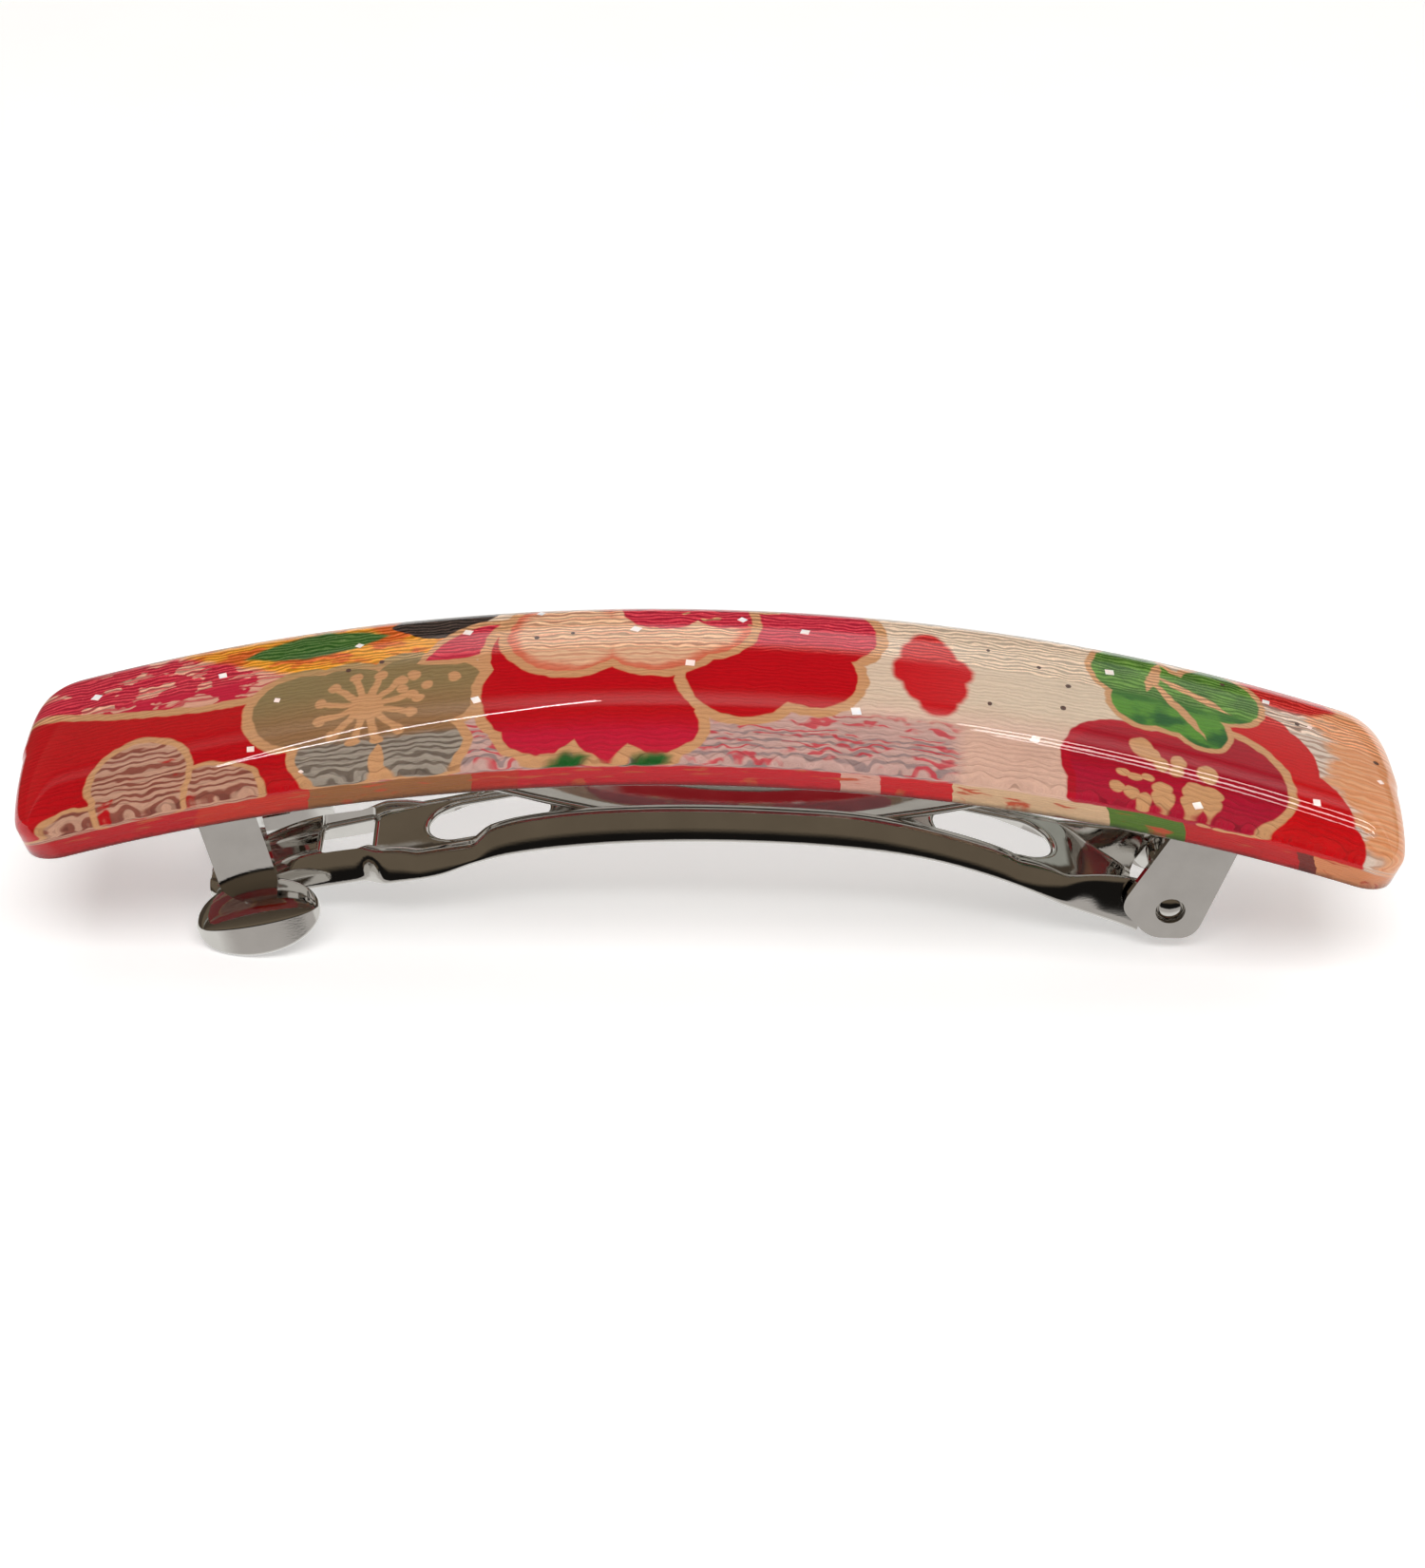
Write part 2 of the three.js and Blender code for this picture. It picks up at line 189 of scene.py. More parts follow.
def printed_cloth():
    """The crepe sheet inside the resin, faintly crinkled, its corners cut round like the bar's."""

    def place(u, v, w):
        s = (2 * u - 1) * (LENGTH / 2 - CLOTH["inset"])
        y = (2 * v - 1) * (half_width(s) - CLOTH["inset"])
        crinkle = 0
        for depth, along, across, layer in CRINKLES:
            crinkle += depth * noise.noise(Vector((s * along, y * across, layer)))
        sag = CLOTH["sag"] if v in (0, 1) else 0
        return on_arc(s, y, CLOTH["low"] + CLOTH["thickness"] * w + crinkle - sag)

    return lattice_skin("printed_cloth", (*CLOTH_STEPS, 1), place)


# Glitter floating in the resin, as (s, y, h, width, turn in degrees).
FLAKES = [
    (-45.6, 4.4, 3.2, 0.95, 20), (-35.9, 3.7, 3.2, 0.85, 60), (-25.9, 5.1, 3.1, 0.7, 10),
    (-31.4, -0.9, 3.4, 0.6, 35), (-33.0, -5.8, 3.2, 0.75, 50), (-18.0, 5.5, 3.0, 0.9, 25),
    (-17.0, -3.3, 3.2, 0.85, 70), (-5.8, 4.8, 3.3, 0.95, 15), (-1.9, 0.2, 3.4, 0.95, 40),
    (1.9, 6.6, 2.9, 0.8, 5), (6.4, 5.1, 3.1, 0.9, 30), (9.8, -4.2, 3.0, 0.95, 55),
    (28.8, 4.7, 3.2, 0.95, 45), (22.6, -5.0, 3.0, 0.9, 20), (34.5, -8.3, 2.6, 0.9, 65),
    (44.1, 3.5, 3.3, 0.5, 15), (49.0, -0.6, 2.8, 0.5, 80), (-12.8, 8.0, 2.6, 0.7, 12),
    (41.0, 5.6, 3.2, 0.8, 33), (43.6, -5.4, 3.1, 0.8, 48), (-29.4, -8.0, 2.4, 0.4, 0),
]
FLAKE = {"sides": 4, "thickness": 0.05}
# Dark specks of dust in the resin, as (s, y, h, width, turn in degrees).
SPECKS = [
    (-26.6, 2.6, 2.0, 0.42, 0), (-24.2, 3.2, 2.0, 0.4, 30), (25.6, 2.4, 2.2, 0.45, 60),
    (23.6, 4.4, 2.0, 0.35, 90), (25.0, -0.4, 2.2, 0.45, 120), (19.9, 5.6, 2.2, 0.3, 150),
    (38.0, 7.2, 2.1, 0.4, 180), (43.4, 4.2, 2.2, 0.4, 210), (49.2, 2.4, 1.8, 0.35, 240),
    (-13.0, 4.8, 2.0, 0.4, 270), (-10.4, 5.2, 2.0, 0.3, 300), (19.6, -1.0, 2.0, 0.35, 330),
]
SPECK = {"sides": 7, "thickness": 0.12}
# Most that a flake or speck leans, in degrees.
BIT_TILT = 9


def flat_bits(name, bits, sides, thickness):
    """Small plates with the given number of sides, each leaning its own way, all in one mesh."""
    points, faces = [], []
    for number, (s, y, h, width, turn) in enumerate(bits):
        tilt = Matrix.Rotation(math.radians(BIT_TILT * math.sin(number * 2.4)), 3, "X")
        spin = Matrix.Rotation(math.radians(turn), 3, "Z")
        first = len(points)
        for z in (-thickness / 2, thickness / 2):
            for corner in range(sides):
                angle = 2 * math.pi * corner / sides
                arm = Vector((math.cos(angle), math.sin(angle), 0)) * width / 2
                arm.z = z
                points.append((on_arc(s, y, h) + spin @ tilt @ arm) * MM)
        low = list(range(first, first + sides))
        high = list(range(first + sides, first + 2 * sides))
        faces.append(low[::-1])
        faces.append(high)
        for corner in range(sides):
            after = (corner + 1) % sides
            faces.append([low[corner], low[after], high[after], high[corner]])
    return new_piece(name, points, faces, smooth=False)


# ---------------- steel clip


# Angles in degrees: faces closer than "flat" are joined, and edges sharper than "sharp" are rounded over.
EDGES = {"flat": 1, "sharp": 35}


def rounded_copy(node, width):
    """A copy of a CAD node whose sharp edges are rounded over, as stamped and plated steel is."""
    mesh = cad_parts[node].data.copy()
    work = bmesh.new()
    work.from_mesh(mesh)
    bmesh.ops.remove_doubles(work, verts=work.verts, dist=0.002 * MM)
    flat = math.radians(EDGES["flat"])
    bmesh.ops.dissolve_limit(work, angle_limit=flat, verts=work.verts, edges=work.edges)
    work.to_mesh(mesh)
    work.free()
    piece = placed(node + "_polished", mesh)
    for polygon in mesh.polygons:
        polygon.use_smooth = True
    bevel = piece.modifiers.new("round", "BEVEL")
    bevel.width = width * MM
    bevel.segments = 2
    bevel.limit_method = "ANGLE"
    bevel.angle_limit = math.radians(EDGES["sharp"])
    bevel.harden_normals = True
    normals = piece.modifiers.new("normals", "WEIGHTED_NORMAL")
    normals.keep_sharp = False
    return piece


# Heights of the arm and spring below the bar, as (s, h) in millimetres.
WEB_LINE = [
    (-41.8, -10.8), (-36, -10.1), (-29, -9.5), (-22.5, -9.2), (-12.5, -8.2), (0, -7.95), (12, -8),
    (20, -8.3), (28, -9), (32, -10.6), (35.5, -11.9),
]
RAIL_TOP = [
    (-41.2, -11), (-36, -9.2), (-32, -8.4), (-27, -8.4), (-24.5, -8.6), (-21.5, -9.35), (-19.3, -8.7),
    (-17.2, -7.3), (-12.5, -6.5), (-6, -6.15), (6, -6.03), (12, -6.1), (18, -6.75), (23.5, -7.8),
    (26.2, -8.9), (28.2, -8.75), (31, -8.3), (33.5, -8), (35.5, -8),
]
RAIL_BOTTOM = [
    (-41.2, -11.15), (-36, -11.1), (-30, -11.15), (-26, -11), (-22, -10.8), (-18.9, -9.95),
    (-15.7, -9.35), (-8, -8.8), (2, -8.55), (11.5, -8.55), (17.4, -8.85), (24, -9.9), (30.7, -11.5),
    (35, -12.15),
]
LEAF_LINE = [(-8, -7), (0, -7.5), (8, -7), (13, -5.85), (18, -4.2), (23, -2.1), (26, -1.3), (28, -1.2)]
LIP_LINE = [
    (-5, -7.6), (0, -7.78), (5, -7.6), (8, -7.35), (13, -6.3), (18, -4.6), (22, -2.8), (24.6, -1.75),
]
SHEET = 0.5
RAIL = {"width": 1.45, "slope": 1.15, "thinning": 0.6, "batter": 0.3, "flange": (25.5, 29.5), "steps": 12}
ARM = {"start": -41.1, "length": 76.6, "steps": 190, "neck": 3.3, "body": 4.25, "hinge": 3.9, "tip_x": -38.2}
SPRING = {"middle": 1.8, "reach": 27.6, "half": 2.9, "sheet": 0.3, "crown": 0.012, "steps": 120}
PIN = {"x": 34.55, "z": -13.56}
KNUCKLE = {"radius": 2.1, "low": 3.3, "high": 3.96, "soft": 0.12, "steps": 40}
# Openings in the arm's web, as (x, half length, half width).
SLOTS = [(-16.6, 4.8, 2.6), (21.2, 4.8, 2.6)]
WINDOW = (-27.3, 2.2, 2.5)


def line_height(line, s):
    """The height at s on a smooth curve through the points of a line."""
    s = min(max(s, line[0][0]), line[-1][0])
    i = max(k for k in range(len(line) - 1) if line[k][0] <= s)

    def slope(k):
        k = min(max(k, 1), len(line) - 2)
        return (line[k + 1][1] - line[k - 1][1]) / (line[k + 1][0] - line[k - 1][0])

    (s0, h0), (s1, h1) = line[i], line[i + 1]
    run = s1 - s0
    t = (s - s0) / run
    bend = t * t * (3 - 2 * t)
    start = t * (1 - t) ** 2 * run * slope(i)
    end = t * t * (t - 1) * run * slope(i + 1)
    return h0 * (1 - bend) + h1 * bend + start + end


def ease(x, low, high):
    """0 below low, 1 above high, smooth between."""
    t = min(1, max(0, (x - low) / (high - low)))
    return t * t * (3 - 2 * t)


def arm_half_width(x):
    """Half the arm's width at x: a round-ended neck, a broad body and a narrower hinge end."""
    neck = ARM["neck"]
    width = neck + (ARM["body"] - neck) * ease(x, -26.4, -24.2)
    width += (ARM["hinge"] - ARM["body"]) * ease(x, 26.5, 29.5)
    past = max(0, ARM["tip_x"] + neck - x)
    return width if past == 0 else max(0.9, math.sqrt(max(0, neck**2 - past**2)))


def arm_section(s):
    """Half of the arm's section at s, from the middle of its top to the middle of its underside."""
    web = line_height(WEB_LINE, s)
    top = max(line_height(RAIL_TOP, s), web + SHEET / 2 + 0.12)
    bottom = min(line_height(RAIL_BOTTOM, s), web - SHEET / 2 - 0.12)
    edge = arm_half_width(on_arc(s, 0, web).x)
    thinning = RAIL["thinning"] * ease(s, *RAIL["flange"])
    inner = edge - RAIL["width"] + thinning
    shoulder = edge - RAIL["slope"] + thinning
    low, high = web - SHEET / 2, web + SHEET / 2
    rise = min(0.45, (top - high) * 0.6)
    drop = min(0.45, (low - bottom) * 0.6)
    # The web's top, then the fillet up the rail's inner face.
    points = [
        (0, high), (inner * 0.5, high), (inner - rise, high), (inner - rise * 0.35, high + rise * 0.2),
        (inner - rise * 0.08, high + rise * 0.6), (inner - 0.03, top - 0.2),
        (inner + 0.04, top - 0.05), (inner + 0.14, top),
    ]
    # The rail's rounded outer face, from its crest down.
    curl = 0.25
    for k in range(RAIL["steps"] + 1):
        turn = math.pi / 2 * k / RAIL["steps"]
        lean = RAIL["batter"] * (1 - math.cos(turn)) + (1 - RAIL["batter"]) * math.sin(turn)
        out = shoulder + (edge - shoulder) * lean
        points.append((out, bottom + curl + (top - bottom - curl) * math.cos(turn)))
    # The curl under the rail, then the fillet back to the web's underside.
    foot = edge - 0.5
    return points + [
        (edge - 0.02, bottom + 0.12), (edge - 0.09, bottom + 0.03), (edge - 0.2, bottom),
        (edge - 0.4, bottom + 0.04), (foot, bottom + 0.12),
        (foot - drop * 0.08, low - drop * 0.6), (foot - drop * 0.35, low - drop * 0.2),
        (foot - drop, low), (inner * 0.5, low), (0, low),
    ]


def spring_section(s):
    """Half of the leaf spring's section at s, its edge turned down in a narrow lip."""
    out = abs(s - SPRING["middle"])
    h = line_height(LEAF_LINE, out)
    half = SPRING["half"] - 0.9 * ease(out, 24, SPRING["reach"])
    sheet = SPRING["sheet"]
    low = min(line_height(LIP_LINE, out), h - sheet / 2)
    edge = h - SPRING["crown"] * half**2
    crowned = [(y, h + sheet / 2 - SPRING["crown"] * y**2) for y in (0, 0.6, 1.2, 1.8, half - 0.5)]
    return crowned + [
        (half - 0.2, edge + sheet / 2 - 0.02), (half - 0.05, edge + 0.04), (half, edge - 0.1),
        (half - 0.03, low), (half - 0.25, low - 0.02), (half - 0.5, edge - sheet / 2), (0, h - sheet / 2),
    ]


def joined_rings(rings, steps, closed=False):
    """The faces from each ring of steps points to the next, and back to the first if closed."""
    faces = []
    for k in range(rings if closed else rings - 1):
        low, high = k * steps, (k + 1) % rings * steps
        for step in range(steps):
            after = (step + 1) % steps
            faces.append([low + step, low + after, high + after, high + step])
    return faces


def loft(name, section, stations):
    """A closed piece through mirrored half sections at the given places along the arc."""
    points = []
    for s in stations:
        half = section(s)
        ring = half + [(-y, h) for y, h in half[-2:0:-1]]
        points += [on_arc(s, y, h) * MM for y, h in ring]
    size = len(ring)
    faces = joined_rings(len(stations), size)
    last = len(points) - size
    faces.append(list(range(size))[::-1])
    faces.append([last + j for j in range(size)])
    return closed_piece(name, points, faces)


def round_end_outline(x, half_length, half_width, steps=16):
    """A slot's outline with round ends, as (x, y) points."""
    points = []
    for side in (1, -1):
        for step in range(steps + 1):
            angle = math.pi * (step / steps - 0.5)
            out = (half_length - half_width) + half_width * math.cos(angle)
            points.append((x + side * out, side * half_width * math.sin(angle)))
    return points


def window_outline(x, half_length, half_width, corner=0.7, steps=5):
    """A rounded rectangle's outline, as (x, y) points."""
    points = []
    for quarter, (side_x, side_y) in enumerate(((1, 1), (-1, 1), (-1, -1), (1, -1))):
        for step in range(steps + 1):
            angle = math.pi / 2 * (quarter + step / steps)
            points.append((
                x + side_x * (half_length - corner) + corner * math.cos(angle),
                side_y * (half_width - corner) + corner * math.sin(angle),
            ))
    return points


def cut(piece, outline):
    """Cuts a straight hole of that outline down through a piece."""
    count = len(outline)
    points = [Vector((x, y, z)) * MM for z in (-5, 30) for x, y in outline]
    ends = [list(range(count))[::-1], list(range(count, 2 * count))]
    cutter = new_piece("cutter", points, ends + joined_rings(2, count), smooth=False)
    hole = piece.modifiers.new("hole", "BOOLEAN")
    hole.operation = "DIFFERENCE"
    hole.solver = "EXACT"
    hole.object = cutter
    bpy.context.view_layer.update()
    graph = bpy.context.evaluated_depsgraph_get()
    done = bpy.data.meshes.new_from_object(piece.evaluated_get(graph))
    piece.modifiers.clear()
    piece.data = done
    bpy.data.objects.remove(cutter)


def rim(name, outline, radius=0.3, sides=10):
    """The rolled rim that follows an opening in the arm's web."""
    count = len(outline)
    points = []
    for k, (x, y) in enumerate(outline):
        before, after = outline[k - 1], outline[(k + 1) % count]
        run = Vector((after[0] - before[0], after[1] - before[1], 0)).normalized()
        out = Vector((run.y, -run.x, 0))
        s = x
        for _ in range(4):
            s += x - on_arc(s, 0, line_height(WEB_LINE, s)).x
        centre = on_arc(s, y, line_height(WEB_LINE, s))
        for side in range(sides):
            angle = 2 * math.pi * side / sides
            lift = Vector((0, 0, radius * math.sin(angle)))
            points.append((centre + out * radius * math.cos(angle) + lift) * MM)
    return new_piece(name, points, joined_rings(count, sides, closed=True))


def locking_arm():
    """The pressed channel of the arm with its openings, and the rolled rims round them."""
    stations = [ARM["start"] + ARM["length"] * k / ARM["steps"] for k in range(ARM["steps"] + 1)]
    arm = loft("arm_channel", arm_section, stations)
    pieces = [arm]
    outlines = [round_end_outline(*slot) for slot in SLOTS] + [window_outline(*WINDOW)]
    for number, outline in enumerate(outlines):
        cut(arm, outline)
        pieces.append(rim(f"arm_rim_{number}", outline))
    crisp = arm.modifiers.new("crisp", "EDGE_SPLIT")
    crisp.split_angle = math.radians(50)
    for side in (1, -1):
        pieces.append(knuckle("arm_knuckle_" + ("near" if side < 0 else "far"), side))
    return pieces


def knuckle(name, side):
    """One round ear of the arm, on the pin."""
    radius, low, high, soft, steps = KNUCKLE.values()
    profile = [
        (0, low), (radius - soft, low), (radius, low + soft), (radius, high - soft), (radius - soft, high),
        (0, high),
    ]
    centre = Vector((PIN["x"], 0, PIN["z"] + UNDERSIDE_TOP))
    points = []
    for out, y in profile:
        for step in range(steps):
            angle = 2 * math.pi * step / steps
            points.append((centre + Vector((out * math.cos(angle), side * y, out * math.sin(angle)))) * MM)
    return closed_piece(name, points, joined_rings(len(profile), steps))


# Where the catch stands along the arc, and how far out its plates reach before the paddles begin.
CATCH = {"s": -36.8, "outer": 4.7}
PADDLE = {"half_length": 4.72, "half_height": 2.82, "sheet": 0.3, "lean": 47, "rings": 20, "steps": 96}
# The crest's drop below the middle, the fall of the face below it, and the dome's power above it.
CREST = {"drop": 0.31, "steep": 0.93, "upper": 1.9}
# The paddle's middle from the catch's foot: along the arc, across it and square to it.
PADDLE_PLACE = (0.3, -6.33, -10.62)


def leg_plate(node, side):
    """The leg's flat plate and tab, without its paddle, edges rounded over."""
    piece = rounded_copy(node, 0.1)
    work = bmesh.new()
    work.from_mesh(piece.data)
    made = bmesh.ops.bisect_plane(
        work, geom=work.verts[:] + work.edges[:] + work.faces[:],
        plane_co=(0, side * CATCH["outer"] * MM, 0), plane_no=(0, side, 0), clear_outer=True,
    )
    edges = [e for e in made["geom_cut"] if isinstance(e, bmesh.types.BMEdge)]
    bmesh.ops.holes_fill(work, edges=edges)
    work.to_mesh(piece.data)
    work.free()
    return piece


def paddle(name, side):
    """The oval thumb paddle: a dished shell with a crest from tip to tip, flat and steep below it."""
    angle = CATCH["s"] / ARC_RADIUS
    along = Vector((math.cos(angle), 0, -math.sin(angle)))
    square = Vector((math.sin(angle), 0, math.cos(angle)))
    foot = on_arc(CATCH["s"], 0, 0)
    lean = math.radians(PADDLE["lean"])
    rings, steps = PADDLE["rings"], PADDLE["steps"]
    points = []

    def add_ring(out, sink):
        """One oval ring at out from 0 at the crest to 1 at the rim, sunk below the outer face."""
        for step in range(steps):
            turn = 2 * math.pi * step / steps
            reach = abs(math.sin(turn))
            rim_v = PADDLE["half_height"] * math.sin(turn)
            crest_v = -CREST["drop"] * PADDLE["half_height"] * reach
            height = CREST["steep"] * (PADDLE["half_height"] * reach + crest_v)
            power = CREST["upper"] if rim_v > 0 else 1
            u = PADDLE["half_length"] * math.cos(turn)
            v = crest_v + (rim_v - crest_v) * out
            rise = height * (1 - out**power) - sink
            x = PADDLE_PLACE[0] + u
            y = PADDLE_PLACE[1] + v * math.cos(lean) - rise * math.sin(lean)
            z = PADDLE_PLACE[2] + v * math.sin(lean) + rise * math.cos(lean)
            points.append((foot + along * x + Vector((0, -side * y, 0)) + square * z) * MM)

    for ring in range(rings + 1):
        add_ring(ring / rings, 0)
    for ring in range(rings + 1):
        add_ring(1 - ring / rings, PADDLE["sheet"])
    return closed_piece(name, points, joined_rings(2 * rings + 2, steps))


def tension_spring():
    """The bowed leaf spring, with its lips."""
    reach, start, steps = SPRING["reach"], SPRING["middle"] - SPRING["reach"], SPRING["steps"]
    return loft("leaf_spring", spring_section, [start + 2 * reach * k / steps for k in range(steps + 1)])


# ---------------- node helpers


def srgb(red, green, blue):
    """A colour given as it looks on screen, made linear."""
    channels = [c / 255 for c in (red, green, blue)]
    linear = [c / 12.92 if c <= 0.04045 else ((c + 0.055) / 1.055) ** 2.4 for c in channels]
    return (*linear, 1)


class Graph:
    """Short ways to add nodes to one material, or to the world."""

    def __init__(self, owner, shader="Principled BSDF"):
        owner.use_nodes = True
        self.owner = owner
        self.tree = owner.node_tree
        self.shader = self.tree.nodes[shader]

    def put(self, socket, value):
        """Links a socket to another node's output, or sets it to a value."""
        if isinstance(value, bpy.types.NodeSocket):
            self.tree.links.new(value, socket)
        else:
            socket.default_value = value

    def node(self, kind, inputs=(), **settings):
        """A shader node with its inputs and settings filled in."""
        made = self.tree.nodes.new("ShaderNode" + kind)
        for key, value in settings.items():
            setattr(made, key, value)
        for key, value in dict(inputs).items():
            self.put(made.inputs[key], value)
        return made

    def math(self, operation, *values):
        """The result of one sum on one to three values."""
        return self.node("Math", dict(enumerate(values)), operation=operation).outputs[0]

    def vector(self, operation, *values, output="Vector"):
        """The result of one sum on vectors."""
        made = self.node("VectorMath", dict(enumerate(values)), operation=operation)
        return made.outputs[output]

    def parts(self, point):
        """The three coordinates of a point."""
        return self.node("SeparateXYZ", {0: point}).outputs

    def times(self, first, second):
        """The product of two numbers."""
        return self.math("MULTIPLY", first, second)

    def plus(self, first, second):
        """The sum of two numbers."""
        return self.math("ADD", first, second)

    def minus(self, first, second):
        """The first number less the second."""
        return self.math("SUBTRACT", first, second)

    def mix(self, factor, first, second, blend="MIX"):
        """The first colour at 0 and the second, or the blend of both, at 1."""
        made = self.node("Mix", data_type="RGBA", blend_type=blend)
        self.put(made.inputs["Factor"], factor)
        self.put(made.inputs[6], first)
        self.put(made.inputs[7], second)
        return made.outputs[2]

    def noise(self, point, scale, detail=2, rough=0.5):
        """Smooth noise, from 0 to 1 about a mean of 0.5."""
        inputs = {"Vector": point, "Scale": scale, "Detail": detail, "Roughness": rough}
        return self.node("TexNoise", inputs).outputs["Fac"]

    def millimetres(self):
        """The place on the piece, in millimetres."""
        return self.stretch(self.node("TexCoord").outputs["Object"], (1 / MM, 1 / MM, 1 / MM))

    def stretch(self, point, scale):
        """A point with each of its coordinates scaled."""
        return self.vector("MULTIPLY", point, scale)

    def ramp(self, value, stops, mode="LINEAR"):
        """A colour ramp over value, from (place, colour) stops."""
        made = self.node("ValToRGB", {0: value})
        made.color_ramp.interpolation = mode
        elements = made.color_ramp.elements
        while len(elements) < len(stops):
            elements.new(0.5)
        for element, (place, colour) in zip(elements, stops):
            element.position = place
            element.color = colour
        return made.outputs[0]

    def share(self, value, low, high, kind="LINEAR"):
        """0 below low, 1 above high, even between."""
        inputs = {"Value": value, "From Min": low, "From Max": high}
        return self.node("MapRange", inputs, interpolation_type=kind).outputs[0]

    def between(self, value, low, high):
        """0 below low, 1 above high, smooth between."""
        return self.share(value, low, high, "SMOOTHSTEP")

    def bump(self, height, strength, distance):
        """A normal roughened by height, at most distance deep."""
        inputs = {"Height": height, "Strength": strength, "Distance": distance}
        return self.node("Bump", inputs).outputs[0]

    def finish(self, **sockets):
        """Fills in the shader and gives the material or world."""
        for key, value in sockets.items():
            self.put(self.shader.inputs[key.replace("_", " ")], value)
        return self.owner


# ---------------- printed crepe

# Colours of the print, as they look on screen; the last two are not print but painted highlight colours for
# the crepe's wrinkles.
INK = {name: srgb(*seen) for name, seen in {
    "cream": (204, 186, 164), "beige": (188, 142, 100), "pink": (198, 154, 138), "grey": (142, 136, 126),
    "mauve": (176, 146, 142), "slate": (128, 112, 112), "rose": (184, 50, 64), "shell": (182, 142, 120),
    "rust": (130, 74, 62), "blush": (206, 156, 134), "old_rose": (184, 84, 84), "sand": (212, 176, 142),
    "clay": (186, 120, 96), "terracotta": (196, 104, 78), "bone": (206, 190, 176), "taupe": (162, 134, 120),
    "apricot": (216, 170, 130), "peach": (204, 136, 92), "brick": (176, 76, 44), "ash": (146, 138, 126),
    "lead": (104, 94, 84), "olive": (128, 112, 76), "bronze": (138, 104, 72), "khaki": (150, 128, 84),
    "gold": (214, 146, 24), "amber": (190, 84, 10), "green": (52, 104, 30), "bright_green": (78, 132, 42),
    "dark_green": (28, 84, 34), "black": (22, 22, 24), "red": (184, 8, 16), "deep_red": (172, 10, 20),
    "scarlet": (184, 18, 26), "crimson": (182, 22, 56), "ruby": (178, 24, 50), "garnet": (164, 14, 34),
    "wine": (152, 14, 34), "claret": (158, 20, 46), "painted_crest_light": (232, 190, 170), "painted_glint": (246, 214, 196),
}.items()}
# What shows through the near side wall, as (share of the bar's length, colour), from the left.
SIDE_STRIP = [
    (0.0, (176, 14, 24)), (0.14, (186, 44, 26)), (0.215, (140, 92, 50)), (0.33, (170, 40, 26)),
    (0.36, (180, 20, 34)), (0.585, (198, 154, 138)), (0.613, (186, 16, 24)), (0.661, (198, 170, 134)),
    (0.77, (74, 110, 28)), (0.827, (180, 26, 30)), (0.91, (110, 40, 34)), (0.92, (204, 136, 92)),
]

# Each motif is a union of round lobes, as (x, y, radius) in millimetres on the drawn pattern.
CORNER_BLOSSOM = [[(-46.5, -9.3, 2.9)], [(-36.3, -7.7, 3.4)], [(-41.5, -4.3, 3.5), (-41.6, -6.4, 3.1)]]
PLUM = [
    (-29.9, -0.1, 3.6), (-27.0, -5.2, 3.2), (-21.3, -5.2, 3.1), (-20.4, 0.4, 3.5), (-26.6, 0.6, 3.1),
    (-22.2, 1.6, 2.7), (-24.8, -1.8, 4.2),
]
PLUM_CENTRE = (-25.2, -0.8)
PLUM_DOTS = [
    (-21.9, 2.1, 0.5), (-20.9, 0.9, 0.42), (-22.6, 0.7, 0.45), (-21.4, -0.4, 0.42), (-18.9, 1.6, 0.5),
]
PEONY = [
    (-12.6, -4.5, 2.9), (-8.2, -5.6, 2.0), (-4.2, -4.4, 3.0), (-11.6, -0.8, 5.3), (-6.3, -1.0, 5.1),
    (-10.0, 3.6, 6.4),
]
CREAM_PETALS = [(-10.7, 5.9, 4.5), (-4.3, 6.1, 4.7), (-1.6, 7.4, 4.3)]
CRIMSON_BLOB = [(-3.8, 9.6, 3.2), (1.0, 9.8, 3.2)]
SECOND_FLOWER = [(1.9, 0.9, 4.1), (6.9, 1.3, 3.4), (8.0, 6.6, 3.9), (4.2, 4.4, 4.4)]
SMALL_BLOSSOM = [
    (15.6, 6.4, 1.3), (15.6, 4.8, 2.1), (14.7, 2.9, 1.9), (17.0, 3.1, 1.8), (15.9, 1.4, 2.4),
    (16.0, -0.3, 1.5),
]
RIGHT_LEAF = [(33.4, 4.2, 3.7), (37.4, 6.0, 3.1), (31.0, 6.6, 3.1), (35.6, 1.6, 2.0), (31.4, 3.0, 2.4)]
# Veins of the right leaf, as (middle, half length, turn in degrees).
LEAF_VEINS = [((34.0, 3.6), 3.6, 122), ((35.4, 5.6), 3.2, 152), ((32.6, 6.8), 2.2, 70)]
RIGHT_FLOWER = [(29.6, -4.2, 4.1), (33.2, -5.0, 4.6), (37.2, -3.2, 4.6), (30.2, -6.4, 4.2)]
RIGHT_STAMENS = [
    (30.9, -1.7, 0.92), (31.6, -2.3, 0.67), (32.3, -3.0, 0.61), (32.4, -6.6, 0.92), (32.3, -5.6, 0.79),
    (33.6, -2.5, 0.61), (33.4, -3.4, 0.55), (35.7, -3.0, 0.79), (34.9, -5.4, 1.16), (35.9, -5.2, 1.04),
    (34.6, -6.6, 0.92), (36.0, -6.4, 0.85), (29.4, -4.6, 0.55), (30.3, -4.8, 0.55), (31.2, -4.6, 0.49),
    (29.0, -6.4, 0.55), (30.0, -6.7, 0.61), (31.0, -7.2, 0.61), (35.6, -8.0, 0.55), (36.8, -8.2, 0.55),
]
RED_GROUND = [(40.4, 0.4, 4.0), (42.6, -4.2, 4.1), (44.6, -7.2, 3.2), (38.6, -6.4, 4.0), (41.0, 3.6, 1.6)]
# Nearer than the fold the pattern draws together by this rate, as the cloth turns down there.
FOLD = -3.9
FOLD_RATE = 1.75


